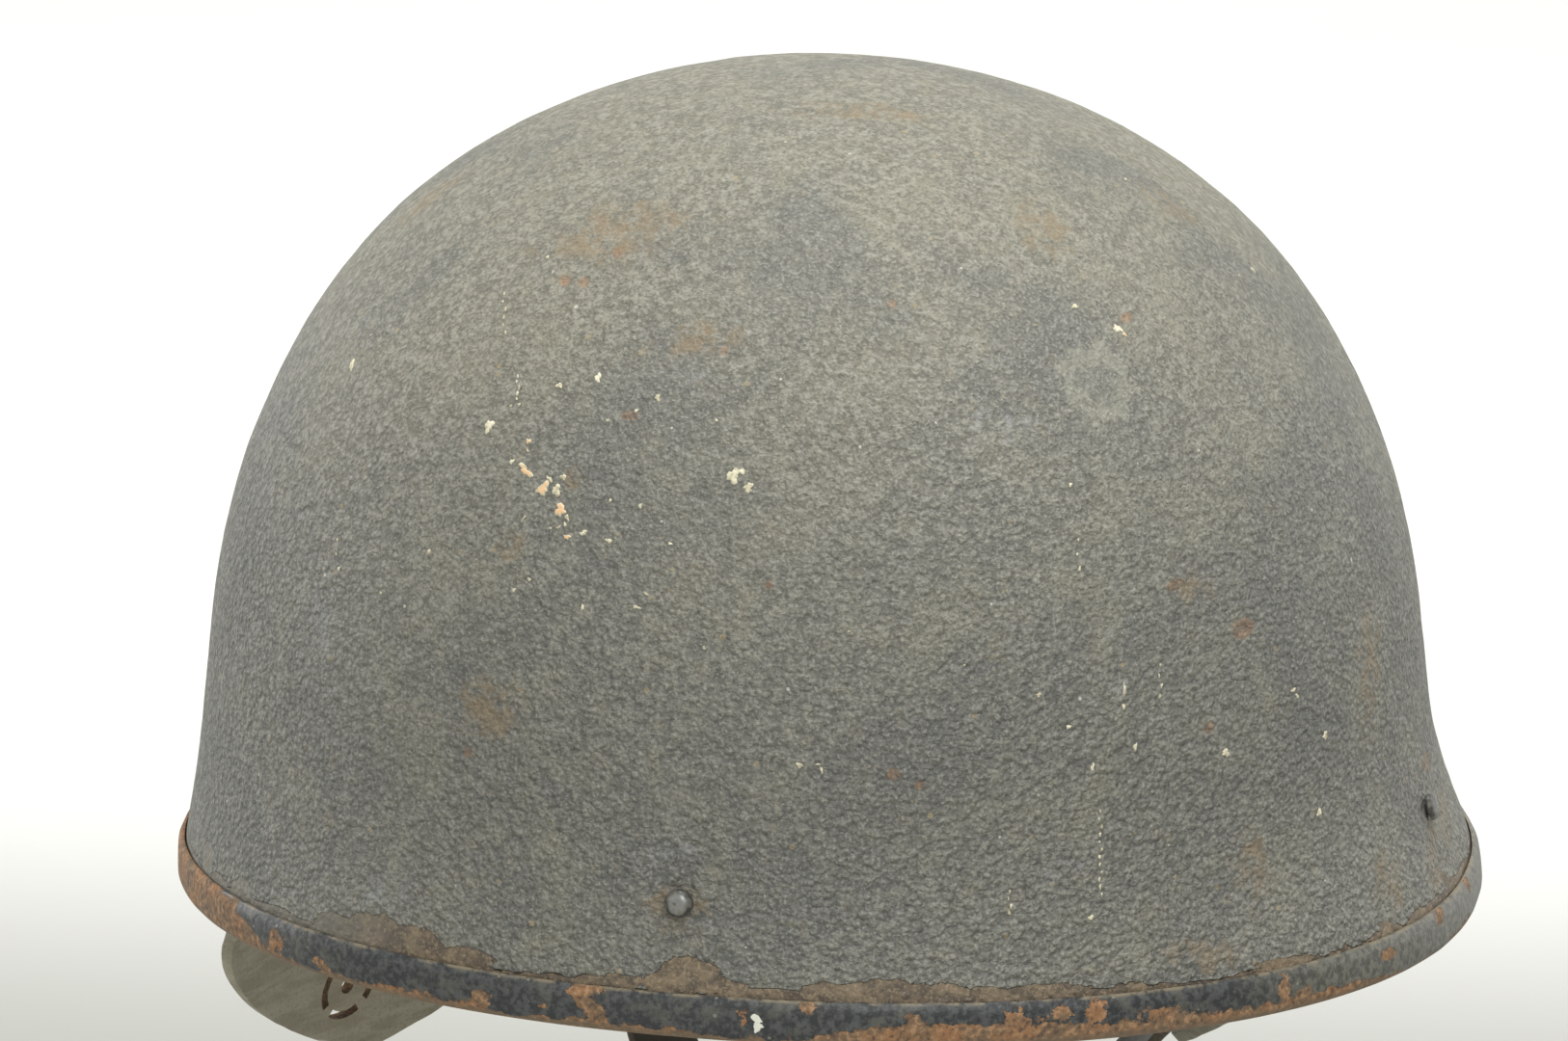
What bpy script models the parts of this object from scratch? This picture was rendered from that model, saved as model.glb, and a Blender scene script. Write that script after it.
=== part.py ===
# Steel despatch rider helmet with leather ear flaps and a chin strap, worn form
# Metres, +Z up, the wearer faces -Y, the wearer's left is +X
# The origin lies in the plane of the rim's lower edge, midway between the sides at the widest line

import bmesh
import bpy
import numpy as np
from mathutils import Matrix, Vector

# Steel shell
HALF_WIDTH = 0.1233
FRONT_REACH = 0.1448
REAR_REACH = 0.1218
CROWN_HEIGHT = 0.1589
STEEL = 0.0012
PLAN_POWER = 2.105
WALL_POWER = 2.77
CROWN_POWER = 2.07
CROWN_SET_BACK = 0.0122
SET_BACK_POWER = 0.71
UPPER_FULLNESS = 0.032

# Flared lip, wider at the front and on the wearer's right
FLARE = 0.0074
FLARE_HEIGHT = 0.0232
FLARE_FRONT_SHARE = 0.20
FLARE_RIGHT_SHARE = 0.29

# Edge binding folded round the lip
BAND_HEIGHT = 0.0084
BAND_STEEL = 0.0011
FIT_GAP = 0.0003
SOFT_GAP = 0.0008

# Rivets through the shell
RIVET_HEIGHT = 0.0244
SIDE_RIVET_ANGLE = 95.0
RIVET_HEAD_RADIUS = 0.0026
RIVET_HEAD_HEIGHT = 0.0024
RIVET_SHANK_RADIUS = 0.0015
RIVET_TAIL_RADIUS = 0.0030
RIVET_TAIL_HEIGHT = 0.0012

# Leather ear flaps
FLAP_LEATHER = 0.0025
FLAP_ROOT_MARGIN = 0.0084
FLAP_ROOT_HEIGHT = RIVET_HEIGHT + FLAP_ROOT_MARGIN
FLAP_DROP = 0.0666
FLAP_EDGE_DROP = 0.0314
FLAP_FRONT_ANGLE = 31.0
FLAP_LOWEST_ANGLE = 54.7
FLAP_REAR_ANGLE = 83.5
FLAP_TAB_ANGLE = SIDE_RIVET_ANGLE + 5.5
FLAP_LOBE_POWER = 1.34
FLAP_CORNER_SHARE = 0.30
FLAP_CORNER_POWER = 5

# Hearing holes in each flap, above and behind its lowest point
EAR_HOLE_ANGLE = FLAP_LOWEST_ANGLE + 4.4
EAR_HOLE_MARGIN = 0.0156
EAR_HOLE_DROP = FLAP_DROP - EAR_HOLE_MARGIN
EAR_CENTRE_RADIUS = 0.0018
EAR_RING_RADIUS = 0.0067
EAR_SLOT_WIDTH = 0.0018
EAR_SLOT_SPAN = 69.0
EAR_SLOTS = 4

# Leather chin strap
STRAP_LEATHER = 0.0022
STRAP_WIDTH = 0.0150
STRAP_DROP = 0.1040
STRAP_STATIONS = 71

# Mesh steps
AROUND = 72
SHELL_RINGS = 17
RING_SPREAD_POWER = 1.3
FOLD_POINTS = 5
FLAP_COLUMNS = 17
FLAP_ROWS = 13
RIVET_SIDES = 16
EAR_HOLE_SIDES = 12
EAR_SLOT_POINTS = 8
ROUTE_STEPS = 16
SHARP_ANGLE = 35

CUTTER_REACH = 0.012
MERGE = 0.0001

# How far the flap's face stands inside the shell's outer face, and the strap's inside that
FLAP_INSET = STEEL + FIT_GAP + BAND_STEEL + SOFT_GAP
STRAP_INSET = FLAP_INSET + FLAP_LEATHER + 2 * SOFT_GAP

# Each flap's lean away from upright at its front and rear edge, in degrees, inwards positive,
# and the length below the rim over which it bends
FLAP_LEANS = {
    "left": {"side": 1, "front": -0.6, "rear": -22.5, "bend": 0.0160},
    "right": {"side": -1, "front": 36.0, "rear": 68.0, "bend": 0.0057},
}

# The strap's end on the wall: share of the rivet's height, degrees past the rivet
STRAP_END = ((1.36, 0.8), (1.18, 0.4), (1.00, 0.0), (0.80, -0.7))

# The strap's free stretch from the left rivet to the chin and up to the right rivet
# Columns: share of the half width, share of the front reach, share of the strap's drop, twist
STRAP_ROUTE = (
    (0.893, -0.035, 0.060, 0.00),
    (0.840, -0.130, -0.060, 0.10),
    (0.690, -0.290, -0.160, 0.35),
    (0.520, -0.430, -0.270, 0.75),
    (0.425, -0.510, -0.420, 1.00),
    (0.380, -0.535, -0.600, 0.90),
    (0.300, -0.560, -0.790, 0.60),
    (0.140, -0.590, -0.955, 0.20),
    (0.000, -0.590, -1.000, 0.00),
    (-0.130, -0.560, -0.965, -0.10),
    (-0.300, -0.470, -0.815, -0.30),
    (-0.395, -0.320, -0.590, -0.40),
    (-0.470, -0.160, -0.390, -0.30),
    (-0.580, -0.060, -0.225, -0.10),
    (-0.770, 0.000, -0.060, 0.00),
    (-0.890, 0.030, 0.070, 0.00),
)


def plan_radius(angle):
    """Distance from the axis to the rim; the angle runs from the front towards the wearer's left."""
    reach = np.where(np.cos(angle) > 0, FRONT_REACH, REAR_REACH)
    across = (np.abs(np.sin(angle)) / HALF_WIDTH) ** PLAN_POWER
    along = (np.abs(np.cos(angle)) / reach) ** PLAN_POWER
    return (across + along) ** (-1 / PLAN_POWER)


def wall_point(angle, height, inset=0.0):
    """A point of the shell's outer face, or of a face that stands an inset inside it."""
    share = np.clip(height / CROWN_HEIGHT, 0, 1)
    fullness = (1 - share**WALL_POWER) ** (1 / CROWN_POWER) * (1 + UPPER_FULLNESS * share)
    spread = 1 + FLARE_FRONT_SHARE * np.cos(angle) - FLARE_RIGHT_SHARE * np.sin(angle)
    flare = FLARE * spread * np.exp(-((height / FLARE_HEIGHT) ** 2))
    radius = (plan_radius(angle) - FLARE) * fullness + flare - inset
    x = radius * np.sin(angle)
    y = -radius * np.cos(angle) + CROWN_SET_BACK * share**SET_BACK_POWER
    return np.stack(np.broadcast_arrays(x, y, height), axis=-1)


def wall_frame(angle, height):
    """A matrix at a point of the shell's outer face, its Z axis along the outward normal."""
    step = 1e-4
    point = wall_point(angle, height)
    round_way = wall_point(angle + step, height) - wall_point(angle - step, height)
    up_way = wall_point(angle, height + step) - wall_point(angle, height - step)
    normal = Vector(np.cross(round_way, up_way)).normalized()
    return Matrix.Translation(Vector(point)) @ normal.to_track_quat("Z", "Y").to_matrix().to_4x4()


def remove_all():
    for thing in list(bpy.data.objects):
        bpy.data.objects.remove(thing, do_unlink=True)


def new_collection(name):
    collection = bpy.data.collections.new(name)
    bpy.context.scene.collection.children.link(collection)
    return collection


def new_material(name, colour, roughness, metallic):
    material = bpy.data.materials.new(name)
    material.use_nodes = True
    shader = material.node_tree.nodes["Principled BSDF"]
    shader.inputs["Base Color"].default_value = (*colour, 1)
    shader.inputs["Roughness"].default_value = roughness
    shader.inputs["Metallic"].default_value = metallic
    material.diffuse_color = (*colour, 1)
    return material


def add_object(name, mesh, collection, material=None):
    thing = bpy.data.objects.new(name, mesh)
    collection.objects.link(thing)
    if material:
        mesh.materials.append(material)
        mesh.shade_smooth()
        mesh.set_sharp_from_angle(angle=np.radians(SHARP_ANGLE))
    return thing


def add_cutter(name, mesh, collection):
    cutter = add_object(name, mesh, collection)
    cutter.hide_render = True
    cutter.display_type = "WIRE"
    return cutter


def sheet_mesh(name, points, closed=False):
    """An open sheet of quads over a grid of points, joined end to end round its columns if closed."""
    rows, columns = points.shape[:2]
    index = np.arange(rows * columns).reshape(rows, columns)
    if closed:
        index = np.concatenate([index, index[:, :1]], axis=1)
    quads = np.stack([index[:-1, :-1], index[:-1, 1:], index[1:, 1:], index[1:, :-1]], axis=-1)
    mesh = bpy.data.meshes.new(name)
    mesh.from_pydata(points.reshape(-1, 3).tolist(), [], quads.reshape(-1, 4).tolist())
    return mesh


def thicken(thing, thickness, offset):
    solidify = thing.modifiers.new("Thickness", "SOLIDIFY")
    solidify.thickness = thickness
    solidify.offset = offset
    solidify.use_even_offset = True


def cut(thing, cutters):
    for cutter in cutters:
        boolean = thing.modifiers.new("Cut " + cutter.name, "BOOLEAN")
        boolean.operation = "DIFFERENCE"
        boolean.object = cutter


def build_shell(collection, material, cutters):
    """The upper half of a sphere, drawn out to the shell's wall height by height."""
    lip = BAND_STEEL + 2 * FIT_GAP + STEEL / 2 + FIT_GAP
    mesh = bpy.data.meshes.new("shell")
    form = bmesh.new()
    bmesh.ops.create_uvsphere(form, u_segments=AROUND, v_segments=2 * SHELL_RINGS, radius=1)
    below = [vert for vert in form.verts if vert.co.z < -0.5 / SHELL_RINGS]
    bmesh.ops.delete(form, geom=below, context="VERTS")
    for vert in form.verts:
        angle = np.arctan2(vert.co.x, -vert.co.y)
        rise = min(max(vert.co.z, 0.0), 1.0) ** RING_SPREAD_POWER
        vert.co = wall_point(angle, lip + (CROWN_HEIGHT - lip) * rise)
    bmesh.ops.recalc_face_normals(form, faces=form.faces)
    form.to_mesh(mesh)
    form.free()
    shell = add_object("shell", mesh, collection, material)
    thicken(shell, STEEL, -1)
    cut(shell, cutters)


def build_rim_band(collection, material):
    """A strip folded round the lip: inner leg, round fold, outer leg."""
    fold_radius = STEEL / 2 + FIT_GAP
    fold_height = BAND_STEEL + fold_radius
    turn = np.radians(np.linspace(180, 360, FOLD_POINTS))
    insets = STEEL / 2 - fold_radius * np.cos(turn)
    heights = fold_height + fold_radius * np.sin(turn)
    insets = np.concatenate([insets[:1], insets, insets[-1:]])
    heights = np.concatenate([[BAND_HEIGHT], heights, [BAND_HEIGHT]])
    angles = np.linspace(0, 2 * np.pi, AROUND, endpoint=False)
    rows = [wall_point(angles, np.full(AROUND, height), inset) for inset, height in zip(insets, heights)]
    mesh = sheet_mesh("rim_band", np.array(rows), closed=True)
    band = add_object("rim_band", mesh, collection, material)
    thicken(band, BAND_STEEL, 1)


def rivet_mesh(stack):
    """Half outline of a rivet, seated on its head's underside, with a shank as long as its stack."""
    outline = (
        (0, RIVET_HEAD_HEIGHT),
        (0.55 * RIVET_HEAD_RADIUS, 0.95 * RIVET_HEAD_HEIGHT),
        (0.90 * RIVET_HEAD_RADIUS, 0.72 * RIVET_HEAD_HEIGHT),
        (RIVET_HEAD_RADIUS, 0.40 * RIVET_HEAD_HEIGHT),
        (RIVET_HEAD_RADIUS, 0),
        (RIVET_SHANK_RADIUS, 0),
        (RIVET_SHANK_RADIUS, -stack),
        (RIVET_TAIL_RADIUS, -stack),
        (0.8 * RIVET_TAIL_RADIUS, -stack - RIVET_TAIL_HEIGHT),
        (0, -stack - RIVET_TAIL_HEIGHT),
    )
    mesh = bpy.data.meshes.new("rivet")
    edges = [(step, step + 1) for step in range(len(outline) - 1)]
    mesh.from_pydata([(radius, 0, height) for radius, height in outline], edges, [])
    return mesh


def build_rivet(name, collection, cutters, material, angle, depth):
    """A rivet at an angle round the shell; depth is how far inside the outer face its tail seats."""
    stack = depth + 2 * FIT_GAP
    frame = wall_frame(angle, RIVET_HEIGHT) @ Matrix.Translation((0, 0, FIT_GAP))
    rivet = add_object(name, rivet_mesh(stack), collection, material)
    rivet.matrix_world = frame
    screw = rivet.modifiers.new("Turned", "SCREW")
    screw.steps = RIVET_SIDES
    screw.render_steps = RIVET_SIDES
    screw.use_merge_vertices = True
    screw.merge_threshold = MERGE
    hole = bmesh.new()
    radius = RIVET_SHANK_RADIUS + FIT_GAP
    bmesh.ops.create_cone(
        hole,
        cap_ends=True,
        segments=RIVET_SIDES,
        radius1=radius,
        radius2=radius,
        depth=2 * CUTTER_REACH,
    )
    mesh = bpy.data.meshes.new(name + "_hole")
    hole.to_mesh(mesh)
    hole.free()
    cutter = add_cutter(name + "_hole", mesh, cutters)
    cutter.matrix_world = frame
    return cutter


def flap_lean(lean, share):
    """The flap's lean in radians at a share of its length from front to rear."""
    return np.radians(lean["front"] + (lean["rear"] - lean["front"]) * share)


def flap_point(lean, angle, height):
    """A point of the flap's outer face: on the wall above the rim, bent and hanging below it."""
    share = (np.degrees(angle) - FLAP_FRONT_ANGLE) / (FLAP_REAR_ANGLE - FLAP_FRONT_ANGLE)
    tilt = flap_lean(lean, np.clip(share, 0, 1))
    tilt = np.where(np.abs(tilt) < 1e-3, 1e-3, tilt)
    drop = np.maximum(-height, 0)
    curved = np.minimum(drop, lean["bend"])
    straight = drop - curved
    swing = tilt * curved / lean["bend"]
    inwards = lean["bend"] / tilt * (1 - np.cos(swing)) + straight * np.sin(tilt)
    down = lean["bend"] / tilt * np.sin(swing) + straight * np.cos(tilt)
    middle = np.radians(EAR_HOLE_ANGLE)
    point = wall_point(lean["side"] * angle, np.maximum(height, 0), FLAP_INSET)
    point[..., 0] -= lean["side"] * inwards * np.sin(middle)
    point[..., 1] += inwards * np.cos(middle)
    point[..., 2] = np.where(height > 0, height, -down)
    return point


def flap_outline(share):
    """The flap's top and bottom heights and its two edge angles at each share from front to rear."""
    angle = FLAP_FRONT_ANGLE + (FLAP_REAR_ANGLE - FLAP_FRONT_ANGLE) * share
    before = (FLAP_LOWEST_ANGLE - angle) / (FLAP_LOWEST_ANGLE - FLAP_FRONT_ANGLE)
    behind = (angle - FLAP_LOWEST_ANGLE) / (FLAP_REAR_ANGLE - FLAP_LOWEST_ANGLE)
    away = np.clip(np.maximum(before, behind), 0, 1)
    lobe = (1 - away**FLAP_LOBE_POWER) ** (1 / FLAP_LOBE_POWER)
    bottom = -FLAP_EDGE_DROP - (FLAP_DROP - FLAP_EDGE_DROP) * lobe
    top = FLAP_ROOT_HEIGHT * (1 - FLAP_CORNER_SHARE * np.abs(2 * share - 1) ** FLAP_CORNER_POWER)
    return bottom, top


def flap_sheet(lean):
    """The flap's outer face over a grid from its front edge to its rear edge and from hem to root."""
    share = np.linspace(0, 1, FLAP_COLUMNS + 1)[:, None]
    rise = np.linspace(0, 1, FLAP_ROWS + 1)[None, :]
    bottom, top = flap_outline(share)
    height = bottom + (top - bottom) * rise
    tab = np.clip(height / (RIVET_HEIGHT + RIVET_TAIL_RADIUS), 0, 1)
    rear = FLAP_REAR_ANGLE + (FLAP_TAB_ANGLE - FLAP_REAR_ANGLE) * tab * tab * (3 - 2 * tab)
    angle = np.radians(FLAP_FRONT_ANGLE + (rear - FLAP_FRONT_ANGLE) * share)
    points = flap_point(lean, angle, height)
    return points[::-1] if lean["side"] > 0 else points


def prism_mesh(name, outline):
    """A flat outline in the XY plane, drawn out to both sides of it."""
    form = bmesh.new()
    base = [form.verts.new((x, y, -CUTTER_REACH)) for x, y in outline]
    face = form.faces.new(base)
    drawn = bmesh.ops.extrude_face_region(form, geom=[face])["geom"]
    top = [item for item in drawn if isinstance(item, bmesh.types.BMVert)]
    bmesh.ops.translate(form, verts=top, vec=(0, 0, 2 * CUTTER_REACH))
    bmesh.ops.recalc_face_normals(form, faces=form.faces)
    mesh = bpy.data.meshes.new(name)
    form.to_mesh(mesh)
    form.free()
    return mesh


def arc_points(radius, start, end, steps):
    turn = np.radians(np.linspace(start, end, steps))
    return list(zip(radius * np.cos(turn), radius * np.sin(turn)))


def build_ear_hole_cutters(name, lean, collection):
    """A round hole and a ring of arc slots, square to the flap where the ear is."""
    angle = np.radians(EAR_HOLE_ANGLE)
    step = 1e-3
    point = flap_point(lean, np.array(angle), np.array(-EAR_HOLE_DROP))
    along = flap_point(lean, np.array(angle + step), np.array(-EAR_HOLE_DROP)) - point
    up = Vector(flap_point(lean, np.array(angle), np.array(-EAR_HOLE_DROP + step)) - point).normalized()
    normal = Vector(along).cross(up).normalized()
    frame = Matrix((up.cross(normal), up, normal)).transposed().to_4x4()
    frame = Matrix.Translation(Vector(point)) @ frame
    outlines = [arc_points(EAR_CENTRE_RADIUS, 0, 360 - 360 / EAR_HOLE_SIDES, EAR_HOLE_SIDES)]
    inner = EAR_RING_RADIUS - EAR_SLOT_WIDTH / 2
    outer = EAR_RING_RADIUS + EAR_SLOT_WIDTH / 2
    for slot in range(EAR_SLOTS):
        middle = 360 / EAR_SLOTS * slot
        start = middle - EAR_SLOT_SPAN / 2
        end = middle + EAR_SLOT_SPAN / 2
        outer_arc = arc_points(outer, start, end, EAR_SLOT_POINTS)
        outlines.append(outer_arc + arc_points(inner, end, start, EAR_SLOT_POINTS))
    cutters = []
    for count, outline in enumerate(outlines):
        mesh = prism_mesh(f"{name}_cutter_{count}", outline)
        cutter = add_cutter(f"{name}_cutter_{count}", mesh, collection)
        cutter.matrix_world = frame
        cutters.append(cutter)
    return cutters


def build_flap(name, lean, collection, cutters, material, rivet_hole):
    flap = add_object(name, sheet_mesh(name, flap_sheet(lean)), collection, material)
    thicken(flap, FLAP_LEATHER, -1)
    cut(flap, [rivet_hole] + build_ear_hole_cutters(name, lean, cutters))


def smooth_route(points, stations):
    """Evenly spaced stations on a smooth curve through the points, passing through each of them."""
    padded = np.concatenate([[2 * points[0] - points[1]], points, [2 * points[-1] - points[-2]]])
    share = np.linspace(0, 1, ROUTE_STEPS, endpoint=False)[:, None]
    spans = []
    for first, second, third, fourth in zip(padded, padded[1:], padded[2:], padded[3:]):
        line = 2 * second + (third - first) * share
        bend = (2 * first - 5 * second + 4 * third - fourth) * share**2
        turn = (3 * second - first - 3 * third + fourth) * share**3
        spans.append((line + bend + turn) / 2)
    fine = np.concatenate(spans + [points[-1:]])
    length = np.concatenate([[0], np.cumsum(np.linalg.norm(np.diff(fine[:, :3], axis=0), axis=1))])
    even = np.linspace(0, length[-1], stations)
    return np.stack([np.interp(even, length, column) for column in fine.T], axis=1)


def strap_route():
    """The strap's middle line with its twist: along each flap's root, then free under the chin."""
    shares, turns = np.array(STRAP_END).T
    ends = []
    for side in (1, -1):
        angles = side * np.radians(SIDE_RIVET_ANGLE + turns)
        places = wall_point(angles, RIVET_HEIGHT * shares, STRAP_INSET + STRAP_LEATHER / 2)
        twists = np.cos(angles) / np.sin(angles)
        ends.append(np.column_stack([places, twists]).tolist())
    scale = np.array([HALF_WIDTH, FRONT_REACH, STRAP_DROP, 1])
    free = (np.array(STRAP_ROUTE) * scale).tolist()
    return smooth_route(np.array(ends[0] + free + ends[1][::-1]), STRAP_STATIONS)


def build_chin_strap(collection, material, holes):
    """A flat strip carried along the route, its width kept square to it and turned by the twist."""
    route = strap_route()
    middle = route[:, :3]
    forward = np.gradient(middle, axis=0)
    forward /= np.linalg.norm(forward, axis=1)[:, None]
    width = np.stack([-route[:, 3], -np.ones(len(route)), np.zeros(len(route))], axis=1)
    width -= forward * np.sum(width * forward, axis=1)[:, None]
    width /= np.linalg.norm(width, axis=1)[:, None]
    across = np.array([-0.5, 0.0, 0.5])[:, None, None] * STRAP_WIDTH
    points = middle[None] + across * width[None]
    strap = add_object("chin_strap", sheet_mesh("chin_strap", points), collection, material)
    thicken(strap, STRAP_LEATHER, 0)
    cut(strap, holes)


def main():
    remove_all()
    parts = new_collection("despatch_rider_helmet")
    cutters = new_collection("cutters")
    paint = new_material("shell_paint", (0.085, 0.082, 0.068), 0.62, 0.0)
    edge = new_material("rim_paint", (0.060, 0.058, 0.050), 0.45, 0.2)
    metal = new_material("rivet_steel", (0.070, 0.066, 0.058), 0.40, 0.6)
    hide = new_material("grey_leather", (0.150, 0.140, 0.110), 0.70, 0.0)
    dark_hide = new_material("dark_leather", (0.020, 0.017, 0.010), 0.55, 0.0)
    side_depth = STRAP_INSET + STRAP_LEATHER
    side = np.radians(SIDE_RIVET_ANGLE)
    rear_hole = build_rivet("rivet_rear", parts, cutters, metal, np.pi, STEEL)
    left_hole = build_rivet("rivet_left", parts, cutters, metal, side, side_depth)
    right_hole = build_rivet("rivet_right", parts, cutters, metal, -side, side_depth)
    build_shell(parts, paint, [rear_hole, left_hole, right_hole])
    build_rim_band(parts, edge)
    build_flap("ear_flap_left", FLAP_LEANS["left"], parts, cutters, hide, left_hole)
    build_flap("ear_flap_right", FLAP_LEANS["right"], parts, cutters, hide, right_hole)
    build_chin_strap(parts, dark_hide, [left_hole, right_hole])


main()
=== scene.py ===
import math

import bpy
import numpy as np
from mathutils import Matrix, Vector


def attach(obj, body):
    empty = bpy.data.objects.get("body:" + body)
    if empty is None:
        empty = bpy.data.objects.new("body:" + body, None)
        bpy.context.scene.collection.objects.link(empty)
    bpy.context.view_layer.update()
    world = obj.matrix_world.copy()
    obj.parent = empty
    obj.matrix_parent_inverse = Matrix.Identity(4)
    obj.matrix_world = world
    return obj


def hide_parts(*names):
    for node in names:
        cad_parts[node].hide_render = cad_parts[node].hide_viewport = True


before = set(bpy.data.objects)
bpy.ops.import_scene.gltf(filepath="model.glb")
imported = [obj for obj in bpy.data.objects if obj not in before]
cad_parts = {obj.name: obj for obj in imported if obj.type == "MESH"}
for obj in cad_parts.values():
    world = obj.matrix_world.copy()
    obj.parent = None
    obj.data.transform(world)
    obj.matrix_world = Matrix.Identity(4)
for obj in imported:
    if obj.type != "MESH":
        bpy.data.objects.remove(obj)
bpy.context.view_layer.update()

# Everything is in metres. The wearer faces -Y, the wearer's left is +X and the crown is up.
# The camera looks at the back of the helmet, as the photograph does.


# numpy helpers

def hashValues(ix, iy, iz, seed):
    # A repeatable value from 0 to 1 at each whole-number point: multiply, mix and keep the low bits
    mixed = ix * 374761393 + iy * 668265263 + iz * 2147483647 + seed * 1274126177
    mixed = (mixed ^ (mixed >> 13)) * 1274126177
    mixed = mixed ^ (mixed >> 16)
    return (mixed & 0xFFFFFF) / float(0xFFFFFF)


def smoothNoise(points, cell, seed=0):
    # Value noise from -1 to 1: lattice values one cell apart, blended by smooth steps
    scaled = points / cell
    low = np.floor(scaled).astype(np.int64)
    part = scaled - low
    part = part * part * (3 - 2 * part)
    total = np.zeros(points.shape[:-1])
    for corner in range(8):
        dx, dy, dz = corner & 1, corner >> 1 & 1, corner >> 2 & 1
        weight = (part[..., 0] if dx else 1 - part[..., 0])
        weight = weight * (part[..., 1] if dy else 1 - part[..., 1])
        weight = weight * (part[..., 2] if dz else 1 - part[..., 2])
        total += weight * hashValues(low[..., 0] + dx, low[..., 1] + dy, low[..., 2] + dz, seed)
    return 2 * total - 1


def roughNoise(points, cell, octaves=3, seed=0):
    # Several noises, each half the size and half the strength of the one before
    total = np.zeros(points.shape[:-1])
    reach = 0
    for step in range(octaves):
        total += smoothNoise(points, cell / 2**step, seed + step) / 2**step
        reach += 1 / 2**step
    return total / reach


def gridNormals(points, closed=True):
    # Cross product of the steps along the columns and along the rows, made unit length
    if closed:
        across = np.roll(points, -1, axis=1) - np.roll(points, 1, axis=1)
    else:
        across = np.gradient(points, axis=1)
    along = np.gradient(points, axis=0)
    normals = np.cross(across, along)
    length = np.linalg.norm(normals, axis=-1, keepdims=True)
    return normals / np.maximum(length, 1e-12)


def gridMesh(name, points, closedColumns=False, closedRows=False, poles=()):
    # Quads between neighbouring grid points; a pole adds one point that closes the first or last row
    rows, columns = points.shape[:2]
    index = np.arange(rows * columns).reshape(rows, columns)
    wide = np.concatenate([index, index[:, :1]], axis=1) if closedColumns else index
    if closedRows:
        wide = np.concatenate([wide, wide[:1]], axis=0)
    quads = np.stack([wide[:-1, :-1], wide[:-1, 1:], wide[1:, 1:], wide[1:, :-1]], axis=-1)
    faces = quads.reshape(-1, 4).tolist()
    vertices = points.reshape(-1, 3).tolist()
    for place, first in poles:
        row = wide[0] if first else wide[-1]
        tip = np.full(columns, len(vertices))
        ends = (row[1:], row[:-1]) if first else (row[:-1], row[1:])
        faces += np.stack([ends[0], ends[1], tip], axis=-1).tolist()
        vertices.append(list(place))
    mesh = bpy.data.meshes.new(name)
    mesh.from_pydata(vertices, [], faces)
    mesh.update()
    return mesh


def meshPoints(mesh, layer="co"):
    values = np.zeros(len(mesh.vertices) * 3)
    mesh.vertices.foreach_get(layer, values)
    return values.reshape(-1, 3)


def storeValues(mesh, name, values):
    layer = mesh.attributes.new(name, "FLOAT", "POINT")
    layer.data.foreach_set("value", np.asarray(values, np.float32))


def addPiece(name, mesh, material, replaced=(), sharp=40):
    piece = bpy.data.objects.new(name, mesh)
    bpy.context.scene.collection.objects.link(piece)
    mesh.materials.clear()
    mesh.materials.append(material)
    mesh.shade_smooth()
    mesh.set_sharp_from_angle(angle=math.radians(sharp))
    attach(piece, "root")
    if replaced:
        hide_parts(*replaced)
    return piece


def applyModifiers(piece):
    graph = bpy.context.evaluated_depsgraph_get()
    made = bpy.data.meshes.new_from_object(piece.evaluated_get(graph))
    piece.modifiers.clear()
    piece.data = made
    return piece


# Camera

cameraView = {
    "azimuth": 191.974,      # degrees round the helmet, 180 is straight behind it
    "elevation": 11.852,
    "roll": 1.132,
    "distance": 1.3105,
    "lens": 155.9,           # millimetres
    "sensor": 36,
    "aimRight": -0.00659,    # where the middle of the picture lies, across and up
    "aimUp": 0.06735,
    "imageWidth": 1626,
    "imageHeight": 1080,
    "clip": (0.05, 40),
    "markDepth": 0.02,       # how far under the surface a mark of the photograph reaches
    "markFacing": 0.2,       # least cosine between a point's normal and the mark's
}


def cameraAxes():
    # Back axis from azimuth and elevation, right axis level, then both turned by the roll
    turn = math.radians(cameraView["azimuth"])
    rise = math.radians(cameraView["elevation"])
    roll = math.radians(cameraView["roll"])
    back = Vector((math.sin(turn) * math.cos(rise), -math.cos(turn) * math.cos(rise), math.sin(rise)))
    level = Vector((0, 0, 1)).cross(back).normalized()
    upright = back.cross(level)
    right = level * math.cos(roll) + upright * math.sin(roll)
    up = upright * math.cos(roll) - level * math.sin(roll)
    return right, up, back


def makeCamera():
    right, up, back = cameraAxes()
    aim = right * cameraView["aimRight"] + up * cameraView["aimUp"]
    camera = bpy.data.objects.new("camera", bpy.data.cameras.new("camera"))
    bpy.context.scene.collection.objects.link(camera)
    camera.data.sensor_width = cameraView["sensor"]
    camera.data.lens = cameraView["lens"]
    camera.data.clip_start, camera.data.clip_end = cameraView["clip"]
    turned = Matrix((right, up, back)).transposed().to_4x4()
    camera.matrix_world = Matrix.Translation(aim + back * cameraView["distance"]) @ turned
    bpy.context.scene.camera = camera


def pixelRay(across, down):
    # Straight line from the camera through a point of the photograph, in its pixels
    right, up, back = cameraAxes()
    start = right * cameraView["aimRight"] + up * cameraView["aimUp"] + back * cameraView["distance"]
    focal = cameraView["lens"] / cameraView["sensor"] * cameraView["imageWidth"]
    way = right * (across - cameraView["imageWidth"] / 2)
    way += up * (cameraView["imageHeight"] / 2 - down)
    way -= back * focal
    return start, way.normalized()


def pointOn(piece, across, down):
    # Where that line first meets a piece
    start, way = pixelRay(across, down)
    hit, place, normal = piece.ray_cast(start, way)[:3]
    if not hit:
        raise ValueError(f"nothing of {piece.name} lies at {across}, {down}")
    return place, normal


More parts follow.
